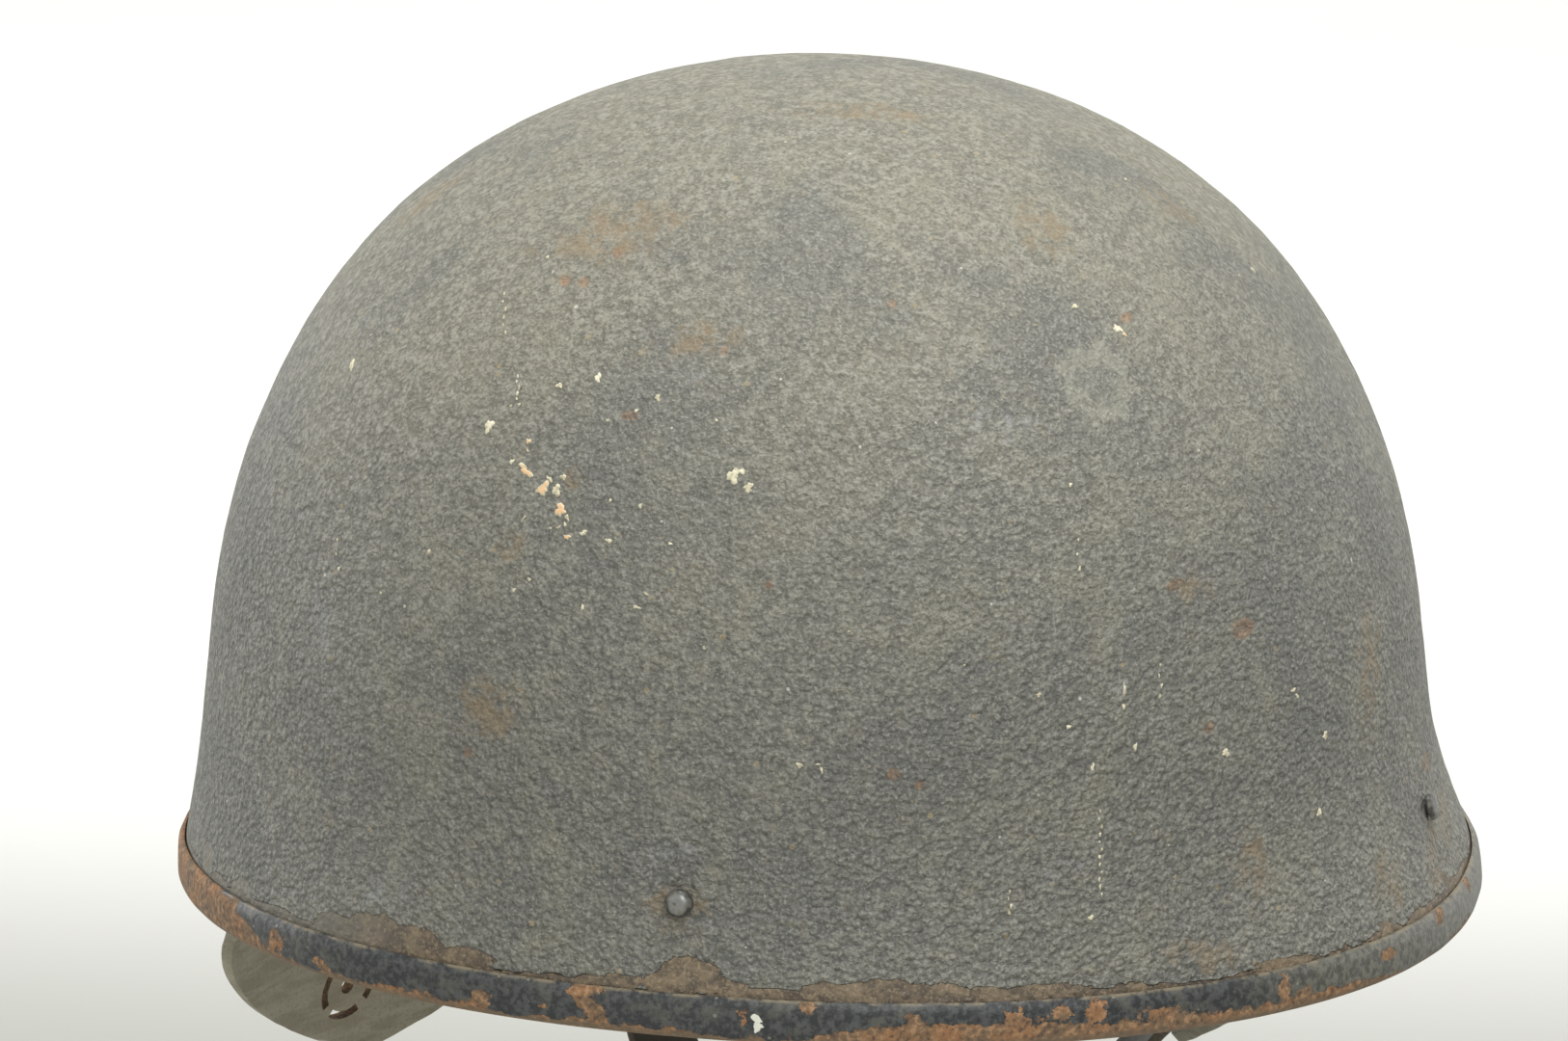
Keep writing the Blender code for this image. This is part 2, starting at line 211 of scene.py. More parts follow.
def markFrame(piece, across, down):
    # The place that a point of the photograph shows, with the picture's right and up laid along the surface
    place, normal = pointOn(piece, across, down)
    right = cameraAxes()[0]
    level = (right - normal * normal.dot(right)).normalized()
    return place, level, normal.cross(level), normal


def markField(piece, marks):
    # 1 less the distance over the reach, the best of all marks: 1 in a mark's middle and 0 at its edge
    places = meshPoints(piece.data)
    facing = meshPoints(piece.data, "normal")
    field = np.full(len(places), -1.0)
    for across, down, wide, tall in marks:
        place, *axes = [np.array(item) for item in markFrame(piece, across, down)]
        reaches = (wide / 1000, tall / 1000, cameraView["markDepth"])
        away = places - place
        distance = np.sqrt(sum((away @ axis / reach) ** 2 for axis, reach in zip(axes, reaches)))
        near = facing @ axes[2] > cameraView["markFacing"]
        field = np.where(near, np.maximum(field, 1 - distance), field)
    return field


# Steel shell

shellForm = {
    "halfWidth": 0.1233,
    "frontReach": 0.1448,
    "rearReach": 0.1218,
    "crownHeight": 0.1589,
    "steel": 0.0012,
    "planPower": 2.105,
    "wallPower": 2.77,
    "crownPower": 2.07,
    "crownSetBack": 0.0122,
    "setBackPower": 0.71,
    "upperFullness": 0.032,
    "flare": 0.0074,
    "flareHeight": 0.0232,
    "flareFrontShare": 0.20,
    "flareRightShare": 0.29,
    "columns": 480,
    "outerRows": 150,
    "innerRows": 42,
    "ringPower": 1.3,
    "hammering": 0.00030,    # slow unevenness of the pressed steel
    "hammerSize": 0.034,
    "coatRelief": 0.00030,   # lumps of the thick paint
    "lumpSize": 0.0052,
    "lipTop": 0.004,         # where the unevenness starts above the lip, and over what height it grows
    "lipFade": 0.012,
}


def planRadius(angle):
    # Superellipse: half width to the sides, front or rear reach along the middle
    reach = np.where(np.cos(angle) > 0, shellForm["frontReach"], shellForm["rearReach"])
    power = shellForm["planPower"]
    across = (np.abs(np.sin(angle)) / shellForm["halfWidth"]) ** power
    along = (np.abs(np.cos(angle)) / reach) ** power
    return (across + along) ** (-1 / power)


def wallPoint(angle, height, inset=0.0):
    # Plan radius times a fullness that shrinks towards the crown, plus the lip's flare, less the inset
    # The angle runs from the front towards the wearer's left
    share = np.clip(height / shellForm["crownHeight"], 0, 1)
    fullness = (1 - share ** shellForm["wallPower"]) ** (1 / shellForm["crownPower"])
    fullness = fullness * (1 + shellForm["upperFullness"] * share)
    spread = 1 + shellForm["flareFrontShare"] * np.cos(angle)
    spread = spread - shellForm["flareRightShare"] * np.sin(angle)
    flare = shellForm["flare"] * spread * np.exp(-((height / shellForm["flareHeight"]) ** 2))
    radius = (planRadius(angle) - shellForm["flare"]) * fullness + flare - inset
    x = radius * np.sin(angle)
    y = -radius * np.cos(angle) + shellForm["crownSetBack"] * share ** shellForm["setBackPower"]
    return np.stack(np.broadcast_arrays(x, y, height), axis=-1)


def wallNormal(angle, height):
    step = 1e-4
    roundWay = wallPoint(angle + step, height) - wallPoint(angle - step, height)
    upWay = wallPoint(angle, height + step) - wallPoint(angle, height - step)
    return Vector(np.cross(roundWay, upWay)).normalized()


def makeShell(material):
    # Outer wall from the lip to the crown, dented inwards by noise, and an inner wall one steel inside it
    angles = np.linspace(0, 2 * np.pi, shellForm["columns"], endpoint=False)[None, :]
    lip = bandForm["steel"] + 3 * bandForm["fitGap"] + shellForm["steel"] / 2
    turn = np.linspace(0, np.pi / 2, shellForm["outerRows"] + 1)[:-1, None]
    heights = lip + (shellForm["crownHeight"] - lip) * np.sin(turn) ** shellForm["ringPower"]
    outer = wallPoint(angles, heights)
    normals = gridNormals(outer)
    inner = outer - normals * shellForm["steel"]
    dent = (smoothNoise(outer, shellForm["hammerSize"], 3) - 1) * shellForm["hammering"]
    dent += (roughNoise(outer, shellForm["lumpSize"], 2, 11) - 1) * shellForm["coatRelief"] / 2
    fade = np.clip((heights - shellForm["lipTop"]) / shellForm["lipFade"], 0, 1)
    outer = outer + normals * (dent * fade)[..., None]
    keep = np.unique(np.linspace(0, shellForm["outerRows"] - 1, shellForm["innerRows"]).astype(int))
    points = np.concatenate([inner[keep][::-1], outer], axis=0)
    crown = Vector((0, shellForm["crownSetBack"], shellForm["crownHeight"]))
    top = crown - Vector((0, 0, shellForm["hammering"]))
    under = crown - Vector((0, 0, shellForm["steel"]))
    mesh = gridMesh("shell_steel", points, closedColumns=True, poles=((under, True), (top, False)))
    return addPiece("shell_steel", mesh, material, ["shell"])


# Edge binding

bandForm = {
    "height": 0.0084,
    "steel": 0.0011,
    "fitGap": 0.0003,
    "edgeTaper": 0.0006,     # how much thinner the pressed top edge is
    "taperHeight": 0.0016,
    "waver": 0.00022,
    "waverSize": 0.009,
    "legSteps": 9,
    "foldSteps": 17,
    "columns": 480,
}


def makeBand(material):
    # A closed U section carried round the lip: outer leg, round fold, inner leg and back again
    middle = shellForm["steel"] / 2
    innerRadius = middle + bandForm["fitGap"]
    outerRadius = innerRadius + bandForm["steel"]
    foldHeight = bandForm["steel"] + innerRadius
    top = bandForm["height"]
    levels = foldHeight + (top - foldHeight) * np.linspace(1, 0, bandForm["legSteps"])[:-1]

    def leg(inset, heights):
        return [(inset, height) for height in heights]

    def fold(radius, start, end, steps):
        turns = np.radians(np.linspace(start, end, steps))
        return [(middle - radius * math.cos(turn), foldHeight - radius * math.sin(turn)) for turn in turns]

    taper = bandForm["edgeTaper"] * np.maximum(0, 1 - (top - levels) / bandForm["taperHeight"])
    section = list(zip(middle - outerRadius + taper, levels))
    section += fold(outerRadius, 0, 180, bandForm["foldSteps"]) + leg(middle + outerRadius, levels[::-1])
    section += leg(middle + innerRadius, levels)
    section += fold(innerRadius, 180, 0, bandForm["foldSteps"] // 2 + 1)
    section += leg(middle - innerRadius, levels[::-1])
    angles = np.linspace(0, 2 * np.pi, bandForm["columns"], endpoint=False)
    rows = [wallPoint(angles, np.full(angles.shape, height), inset) for inset, height in section]
    points = np.array(rows)
    outside = np.array([inset < middle for inset, height in section], float)[:, None]
    facing = np.stack([np.sin(angles), -np.cos(angles), 0 * angles], axis=-1)[None]
    waver = (roughNoise(points, bandForm["waverSize"], 3, 5) - 1) / 2 * bandForm["waver"]
    points = points + facing * (waver * outside)[..., None]
    mesh = gridMesh("edge_binding", points, closedColumns=True, closedRows=True)
    fixWinding(mesh)
    return addPiece("edge_binding", mesh, material, ["rim_band"])


def fixWinding(mesh):
    # Turn every face when the mesh's signed volume comes out negative
    mesh.calc_loop_triangles()
    corners = np.zeros(len(mesh.loop_triangles) * 3, np.int32)
    mesh.loop_triangles.foreach_get("vertices", corners)
    a, b, c = meshPoints(mesh)[corners.reshape(-1, 3)].transpose(1, 0, 2)
    if np.sum(a * np.cross(b, c)) < 0:
        mesh.flip_normals()


# Rivets

rivetForm = {
    "height": 0.0244,
    "sideAngle": 95.0,
    "headRadius": 0.0026,
    "headHeight": 0.0024,
    "shankRadius": 0.0015,
    "tailRadius": 0.0030,
    "tailHeight": 0.0012,
    "sideHead": 0.6,         # how flat the heads at the sides are, under paint
    "sides": 40,
    "crownTurns": (88, 12, 10),      # the head's arc: degrees from and to, steps
    "crownSquareness": 0.75,
    "crownFoot": 0.30,       # heights of the arc's foot and of the worn collar, as shares of the head's
    "collar": 0.22,
    "seatShare": 0.97,
    "seat": 0.0002,
    "tail": ((0.96, 0), (1, 0.25), (0.86, 0.9), (0.5, 1)),       # shares of the tail's radius and height
    "wearSize": 0.0019,
    "wear": 0.05,
    "proud": 0.0001,
}


def makeRivet(name, angle, depth, material, replaced, flattened=1.0):
    # Half outline turned about the wall's normal: worn head, shank and flat tail
    radius, height = rivetForm["headRadius"], rivetForm["headHeight"] * flattened
    tail, thick = rivetForm["tailRadius"], rivetForm["tailHeight"]
    turns = np.radians(np.linspace(*rivetForm["crownTurns"]))
    foot, shank = rivetForm["crownFoot"], rivetForm["shankRadius"]
    outline = [(radius * math.cos(turn) ** rivetForm["crownSquareness"],
                height * (foot + (1 - foot) * math.sin(turn))) for turn in turns]
    outline += [(radius, rivetForm["collar"] * height), (rivetForm["seatShare"] * radius, rivetForm["seat"])]
    outline += [(shank, 0), (shank, -depth)]
    outline += [(tail * share, -depth - thick * part) for share, part in rivetForm["tail"]]
    radii = np.array([r for r, h in outline])[:, None]
    levels = np.array([h for r, h in outline])[:, None]
    spin = np.linspace(0, 2 * np.pi, rivetForm["sides"], endpoint=False)[None, :]
    local = np.stack(np.broadcast_arrays(radii * np.cos(spin), radii * np.sin(spin), levels), axis=-1)
    wear = smoothNoise(local + 0.05, rivetForm["wearSize"], 21)
    head = np.clip(levels / height, 0, 1)
    local = local * (1 - rivetForm["wear"] * np.abs(wear) * head)[..., None]
    normal = wallNormal(angle, rivetForm["height"])
    place = Vector(wallPoint(angle, rivetForm["height"])) + normal * rivetForm["proud"]
    turned = np.array(normal.to_track_quat("Z", "Y").to_matrix())
    points = local @ turned.T + np.array(place)
    top = place + normal * outline[0][1]
    bottom = place + normal * outline[-1][1]
    mesh = gridMesh(name, points, closedColumns=True, poles=((top, True), (bottom, False)))
    fixWinding(mesh)
    worn = np.broadcast_to(head, local.shape[:2]).ravel() * (flattened == 1)
    storeValues(mesh, "headShare", np.concatenate([worn, [flattened == 1, 0]]))
    return addPiece(name, mesh, material, [replaced])


# Ear flaps

flapForm = {
    "leather": 0.0025,
    "rootHeight": 0.0328,
    "drop": 0.0666,
    "edgeDrop": 0.0314,
    "frontAngle": 31.0,
    "lowestAngle": 54.7,
    "rearAngle": 83.5,
    "tabAngle": 100.5,
    "lobePower": 1.34,
    "cornerShare": 0.30,
    "cornerPower": 5,
    "holeAngle": 59.1,
    "holeDrop": 0.0510,
    "centreRadius": 0.0018,
    "ringRadius": 0.0067,
    "slotWidth": 0.0018,
    "slotSpan": 69.0,
    "slots": 4,
    "columns": 120,
    "rows": 110,
    "softGap": 0.0008,
    "cutRadius": 0.0005,
    "cutAngle": 60,          # an edge sharper than this many degrees is rounded
    "sharpAngle": 50,
    "centreSpan": 345,       # degrees of the round hole's outline
    "centreSteps": 24,
    "slotSteps": 16,
    "hangFade": 0.012,       # below the rim, the height over which the waves grow
    # stretch along each axis, size, seed and depth of a wave
    "waves": (((0.6, 0.6, 2.2), 0.016, 31, 0.00035), ((0.5, 0.5, 3.0), 0.006, 33, 0.00012)),
}

flapLeans = {
    "left": {"side": 1, "front": -0.6, "rear": -22.5, "bend": 0.0160},
    "right": {"side": -1, "front": 36.0, "rear": 68.0, "bend": 0.0057},
}


def flapInset():
    return shellForm["steel"] + bandForm["fitGap"] + bandForm["steel"] + flapForm["softGap"]


def flapPoint(lean, angle, height):
    # On the wall above the rim; below it, bent through the lean over the bend length, then straight
    share = (np.degrees(angle) - flapForm["frontAngle"]) / (flapForm["rearAngle"] - flapForm["frontAngle"])
    tilt = np.radians(lean["front"] + (lean["rear"] - lean["front"]) * np.clip(share, 0, 1))
    tilt = np.where(np.abs(tilt) < 1e-3, 1e-3, tilt)
    drop = np.maximum(-height, 0)
    curved = np.minimum(drop, lean["bend"])
    straight = drop - curved
    swing = tilt * curved / lean["bend"]
    inwards = lean["bend"] / tilt * (1 - np.cos(swing)) + straight * np.sin(tilt)
    down = lean["bend"] / tilt * np.sin(swing) + straight * np.cos(tilt)
    middle = math.radians(flapForm["holeAngle"])
    point = wallPoint(lean["side"] * angle, np.maximum(height, 0), flapInset())
    point[..., 0] -= lean["side"] * inwards * math.sin(middle)
    point[..., 1] += inwards * math.cos(middle)
    point[..., 2] = np.where(height > 0, height, -down)
    return point


def flapGrid(lean):
    # Rows from the front edge to the rear edge, columns from the hem to the root
    share = np.linspace(0, 1, flapForm["columns"] + 1)[:, None]
    rise = np.linspace(0, 1, flapForm["rows"] + 1)[None, :]
    front, lowest, rear = flapForm["frontAngle"], flapForm["lowestAngle"], flapForm["rearAngle"]
    angle = front + (rear - front) * share
    away = np.clip(np.maximum((lowest - angle) / (lowest - front), (angle - lowest) / (rear - lowest)), 0, 1)
    lobe = (1 - away ** flapForm["lobePower"]) ** (1 / flapForm["lobePower"])
    bottom = -flapForm["edgeDrop"] - (flapForm["drop"] - flapForm["edgeDrop"]) * lobe
    corner = flapForm["cornerShare"] * np.abs(2 * share - 1) ** flapForm["cornerPower"]
    top = flapForm["rootHeight"] * (1 - corner)
    height = bottom + (top - bottom) * rise
    tab = np.clip(height / (rivetForm["height"] + rivetForm["tailRadius"]), 0, 1)
    reach = rear + (flapForm["tabAngle"] - rear) * tab * tab * (3 - 2 * tab)
    return flapPoint(lean, np.radians(front + (reach - front) * share), height)


def arcPoints(radius, start, end, steps):
    turn = np.radians(np.linspace(start, end, steps))
    return list(zip(radius * np.cos(turn), radius * np.sin(turn)))


def holeCutter(name, outline, place, materials):
    # A flat outline drawn out to both sides of the leather; its faces carry the second material
    reach = 4 * flapForm["leather"]
    count = len(outline)
    vertices = [(x, y, level) for level in (-reach, reach) for x, y in outline]
    sides = [(i, (i + 1) % count, count + (i + 1) % count, count + i) for i in range(count)]
    faces = [tuple(range(count))[::-1], tuple(range(count, 2 * count))] + sides
    mesh = bpy.data.meshes.new(name)
    mesh.from_pydata(vertices, [], faces)
    mesh.transform(place)
    fixWinding(mesh)
    for material in materials:
        mesh.materials.append(material)
    mesh.polygons.foreach_set("material_index", [1] * len(faces))
    cutter = bpy.data.objects.new(name, mesh)
    bpy.context.scene.collection.objects.link(cutter)
    return cutter


def earPlace(lean):
    # The middle of the ear holes, with axes along the flap, up it and out of it
    step = 1e-3
    angle = math.radians(flapForm["holeAngle"])
    drop = flapForm["holeDrop"]
    point = Vector(flapPoint(lean, np.array(angle), np.array(-drop)))
    along = Vector(flapPoint(lean, np.array(angle + step), np.array(-drop))) - point
    up = (Vector(flapPoint(lean, np.array(angle), np.array(-drop + step))) - point).normalized()
    normal = along.cross(up).normalized()
    return Matrix.Translation(point) @ Matrix((up.cross(normal), up, normal)).transposed().to_4x4()


def makeFlap(side, material, cutMaterial, replaced):
    # The outer face, waved a little, thickened inwards, its cut edges rounded and the ear holes punched
    lean = flapLeans[side]
    name = f"ear_flap_{side}_leather"
    points = flapGrid(lean)
    if lean["side"] > 0:
        points = points[::-1]
    normals = gridNormals(points, closed=False)
    hanging = np.clip(-points[..., 2:3] / flapForm["hangFade"], 0, 1)
    wave = sum(smoothNoise(points * np.array(stretch), size, seed)[..., None] * depth
               for stretch, size, seed, depth in flapForm["waves"])
    points = points - normals * hanging * np.abs(wave)
    mesh = gridMesh(name, points)
    flap = addPiece(name, mesh, material, [replaced], flapForm["sharpAngle"])
    mesh.materials.append(cutMaterial)
    thick = flap.modifiers.new("leather", "SOLIDIFY")
    thick.thickness = flapForm["leather"]
    thick.offset = -1
    thick.use_even_offset = True
    rounded = flap.modifiers.new("cut edge", "BEVEL")
    rounded.width = flapForm["cutRadius"]
    rounded.segments = 2
    rounded.limit_method = "ANGLE"
    rounded.angle_limit = math.radians(flapForm["cutAngle"])
    applyModifiers(flap)
    place = earPlace(lean)
    inner = flapForm["ringRadius"] - flapForm["slotWidth"] / 2
    outer = flapForm["ringRadius"] + flapForm["slotWidth"] / 2
    steps = flapForm["slotSteps"]
    outlines = [arcPoints(flapForm["centreRadius"], 0, flapForm["centreSpan"], flapForm["centreSteps"])]
    for slot in range(flapForm["slots"]):
        start = 360 / flapForm["slots"] * slot - flapForm["slotSpan"] / 2
        end = start + flapForm["slotSpan"]
        outlines.append(arcPoints(outer, start, end, steps) + arcPoints(inner, end, start, steps))
    cutters = []
    for count, outline in enumerate(outlines):
        cutter = holeCutter(f"punch_{side}_{count}", outline, place, (material, cutMaterial))
        cut = flap.modifiers.new("punched", "BOOLEAN")
        cut.operation = "DIFFERENCE"
        cut.object = cutter
        cutters.append(cutter)
    bpy.context.view_layer.update()
    applyModifiers(flap)
    for cutter in cutters:
        bpy.data.objects.remove(cutter)
    flap.data.shade_smooth()
    flap.data.set_sharp_from_angle(angle=math.radians(flapForm["sharpAngle"]))
    return flap


# Chin strap

strapForm = {
    "leather": 0.0022,
    "width": 0.0150,
    "drop": 0.1040,
    "stations": 340,
    "routeSteps": 24,
    "edgeRadius": 0.0008,
    "cornerSteps": 5,
    "faceSteps": 12,
    "sharpAngle": 50,
    "creaseSize": 0.0045,
    "creaseDepth": 0.00010,
    # share of the rivet's height, degrees past the rivet
    "ends": ((1.36, 0.8), (1.18, 0.4), (1.00, 0.0), (0.80, -0.7)),
    # share of the half width, of the front reach and of the drop, and the twist
    "route": (
        (0.893, -0.035, 0.060, 0.00),
        (0.840, -0.130, -0.060, 0.10),
        (0.690, -0.290, -0.160, 0.35),
        (0.520, -0.430, -0.270, 0.75),
        (0.425, -0.510, -0.420, 1.00),
        (0.380, -0.535, -0.600, 0.90),
        (0.300, -0.560, -0.790, 0.60),
        (0.140, -0.590, -0.955, 0.20),
        (0.000, -0.590, -1.000, 0.00),
        (-0.130, -0.560, -0.965, -0.10),
        (-0.300, -0.470, -0.815, -0.30),
        (-0.395, -0.320, -0.590, -0.40),
        (-0.470, -0.160, -0.390, -0.30),
        (-0.580, -0.060, -0.225, -0.10),
        (-0.770, 0.000, -0.060, 0.00),
        (-0.890, 0.030, 0.070, 0.00),
    ),
}


def smoothRoute(points, stations):
    # Catmull-Rom curve through the points, read at even distances
    padded = np.concatenate([[2 * points[0] - points[1]], points, [2 * points[-1] - points[-2]]])
    share = np.linspace(0, 1, strapForm["routeSteps"], endpoint=False)[:, None]
    spans = []
    for first, second, third, fourth in zip(padded, padded[1:], padded[2:], padded[3:]):
        line = 2 * second + (third - first) * share
        bend = (2 * first - 5 * second + 4 * third - fourth) * share**2
        turn = (3 * second - first - 3 * third + fourth) * share**3
        spans.append((line + bend + turn) / 2)
    fine = np.concatenate(spans + [points[-1:]])
    length = np.concatenate([[0], np.cumsum(np.linalg.norm(np.diff(fine[:, :3], axis=0), axis=1))])
    even = np.linspace(0, length[-1], stations)
    return np.stack([np.interp(even, length, column) for column in fine.T], axis=1), even


def makeStrap(material):
    # A flat section with rounded edges carried along the route, turned by the twist
    inset = flapInset() + flapForm["leather"] + 2 * flapForm["softGap"] + strapForm["leather"] / 2
    shares, turns = np.array(strapForm["ends"]).T
    ends = []
    for side in (1, -1):
        angles = side * np.radians(rivetForm["sideAngle"] + turns)
        places = wallPoint(angles, rivetForm["height"] * shares, inset)
        ends.append(np.column_stack([places, np.cos(angles) / np.sin(angles)]))
    scale = np.array([shellForm["halfWidth"], shellForm["frontReach"], strapForm["drop"], 1])
    free = np.array(strapForm["route"]) * scale
    route, length = smoothRoute(np.concatenate([ends[0], free, ends[1][::-1]]), strapForm["stations"])
    middle = route[:, :3]
    forward = np.gradient(middle, axis=0)
    forward /= np.linalg.norm(forward, axis=1)[:, None]
    wide = np.stack([-route[:, 3], -np.ones(len(route)), np.zeros(len(route))], axis=1)
    wide -= forward * np.sum(wide * forward, axis=1)[:, None]
    wide /= np.linalg.norm(wide, axis=1)[:, None]
    deep = np.cross(forward, wide)
    half, thick, radius = strapForm["width"] / 2, strapForm["leather"] / 2, strapForm["edgeRadius"]
    section = []
    for cornerX, cornerY, start in ((1, 1, 0), (-1, 1, 90), (-1, -1, 180), (1, -1, 270)):
        for turn in np.radians(np.linspace(start, start + 90, strapForm["cornerSteps"])):
            across = cornerX * (half - radius) + radius * math.cos(turn)
            depth = cornerY * (thick - radius) + radius * math.sin(turn)
            section.append((across, depth))
        if cornerX == cornerY:
            for share in np.linspace(0, 1, strapForm["faceSteps"])[1:-1]:
                section.append((cornerX * (half - radius) * (1 - 2 * share), cornerY * thick))
    across = np.array([a for a, d in section])[:, None, None]
    depth = np.array([d for a, d in section])[:, None, None]
    points = middle[None] + across * wide[None] + depth * deep[None]
    crease = roughNoise(points, strapForm["creaseSize"], 2, 41)[..., None] * strapForm["creaseDepth"]
    points = points - np.sign(depth) * deep[None] * np.abs(crease)
    points = points.transpose(1, 0, 2)
    tips = ((Vector(middle[0]), True), (Vector(middle[-1]), False))
    mesh = gridMesh("chin_strap_leather", points, closedColumns=True, poles=tips)
    fixWinding(mesh)
    along = np.repeat(length, len(section))
    side = np.tile(across.ravel() / half, len(middle))
    along = np.concatenate([along, [0, length[-1]]])
    side = np.concatenate([side, [0, 0]])
    layer = mesh.attributes.new("strapPlace", "FLOAT_VECTOR", "POINT")
    layer.data.foreach_set("vector", np.stack([along, side, 0 * along], axis=1).astype(np.float32).ravel())
    return addPiece("chin_strap_leather", mesh, material, ["chin_strap"],
                    strapForm["sharpAngle"])


# Shader helpers

def setInputs(tree, node, values):
    # An output is joined to its socket, and anything else becomes the socket's own value
    for socket, value in values.items():
        if isinstance(value, bpy.types.NodeSocket):
            tree.links.new(value, node.inputs[socket])
        else:
            node.inputs[socket].default_value = value
    return node


def addNode(tree, kind, values=None, **settings):
    node = tree.nodes.new("ShaderNode" + kind)
    for name, value in settings.items():
        setattr(node, name, value)
    return setInputs(tree, node, values or {})


def calc(tree, operation, first, second=0.0, third=None, clamp=False):
    values = {0: first, 1: second}
    if third is not None:
        values[2] = third
    return addNode(tree, "Math", values, operation=operation, use_clamp=clamp).outputs[0]


def vectorCalc(tree, operation, first, second=None, output=0):
    values = {0: first} if second is None else {0: first, 1: second}
    return addNode(tree, "VectorMath", values, operation=operation).outputs[output]


def ramp(tree, value, low, high, start=0.0, end=1.0):
    # Smooth step of a value from low to high, put out as start to end
    values = {"Value": value, "From Min": low, "From Max": high, "To Min": start, "To Max": end}
    return addNode(tree, "MapRange", values, interpolation_type="SMOOTHSTEP").outputs[0]


def blend(tree, factor, first, second):
    colours = [(*c, 1) if isinstance(c, tuple) and len(c) == 3 else c for c in (first, second)]
    return addNode(tree, "Mix", {0: factor, 6: colours[0], 7: colours[1]}, data_type="RGBA").outputs[2]


def layTones(tree, base, *layers):
    # Each tone laid over those before it where its value runs from low to high, and up to its share
    for tone, value, low, high, share in layers:
        base = blend(tree, calc(tree, "MULTIPLY", ramp(tree, value, low, high), share), base, tone)
    return base


def noiseAt(tree, vector, scale, detail=3.0, rough=0.5, distort=0.0):
    values = {"Vector": vector, "Scale": scale, "Detail": detail, "Roughness": rough, "Distortion": distort}
    return addNode(tree, "TexNoise", values).outputs["Fac"]


def stored(tree, name, output="Fac"):
    # A value that the mesh carries at its points
    return addNode(tree, "Attribute", attribute_name=name).outputs[output]


def split(tree, vector):
    return addNode(tree, "SeparateXYZ", {0: vector}).outputs


def newGroup(name, inputs, outputs):
    tree = bpy.data.node_groups.new(name, "ShaderNodeTree")
    for label, kind, value in inputs:
        socket = tree.interface.new_socket(label, in_out="INPUT", socket_type="NodeSocket" + kind)
        if value is not None:
            socket.default_value = value
    for label, kind in outputs:
        tree.interface.new_socket(label, in_out="OUTPUT", socket_type="NodeSocket" + kind)
    return tree, tree.nodes.new("NodeGroupInput").outputs, tree.nodes.new("NodeGroupOutput").inputs


def placeGroup(tree, name, values):
    node = tree.nodes.new("ShaderNodeGroup")
    node.node_tree = groups[name]
    return setInputs(tree, node, values).outputs


def newMaterial(name):
    material = bpy.data.materials.new(name)
    material.use_nodes = True
    return material, material.node_tree, addNode(material.node_tree, "TexCoord").outputs["Object"]


def finishMaterial(material, looks, relief=None, depth=0.0, strength=1.0):
    # The shader's sockets, then the relief as a bump of that depth in metres
    tree = material.node_tree
    shader = setInputs(tree, tree.nodes["Principled BSDF"], looks)
    if relief is not None:
        bump = addNode(tree, "Bump", {"Height": relief, "Distance": depth, "Strength": strength})
        tree.links.new(bump.outputs[0], shader.inputs["Normal"])
    return material


# Shader groups that more than one finish uses, with the scale of each noise

groupFinish = {
    "lumpSquash": (1.0, 1.0, 1.12),      # lumps are a little wider than tall
    "lumps": 460.0,
    "grains": 740.0,
    "grit": 1700.0,
    "rustPatches": 170.0,
    "rustGrains": 900.0,
    "rustOrange": (0.265, 0.135, 0.062),
    "rustBrown": (0.165, 0.108, 0.064),
    "rustPale": (0.34, 0.205, 0.110),
    "rustDark": (0.095, 0.062, 0.042),
}


def makeSpotGroup():
    # One ragged patch: distance from its centre over its reach, shaken by noise, then a soft threshold
    tree, given, out = newGroup(
        "raggedPatch",
        [("Vector", "Vector", None), ("Shake", "Vector", None), ("Centre", "Vector", None),
         ("Reach", "Vector", (0.001, 0.001, 0.001)), ("Raggedness", "Float", 0.5),
         ("Softness", "Float", 0.15)],
        [("Mask", "Float")],
    )
    away = vectorCalc(tree, "SUBTRACT", given["Vector"], given["Centre"])
    scaled = vectorCalc(tree, "DIVIDE", away, given["Reach"])
    shake = addNode(tree, "VectorMath", {0: given["Shake"], "Scale": given["Raggedness"]}, operation="SCALE")
    moved = vectorCalc(tree, "ADD", scaled, shake.outputs[0])
    distance = vectorCalc(tree, "LENGTH", moved, output="Value")
    low = calc(tree, "SUBTRACT", 1.0, given["Softness"])
    high = calc(tree, "ADD", 1.0, given["Softness"])
    tree.links.new(ramp(tree, distance, low, high, 1.0, 0.0), out["Mask"])
    return tree


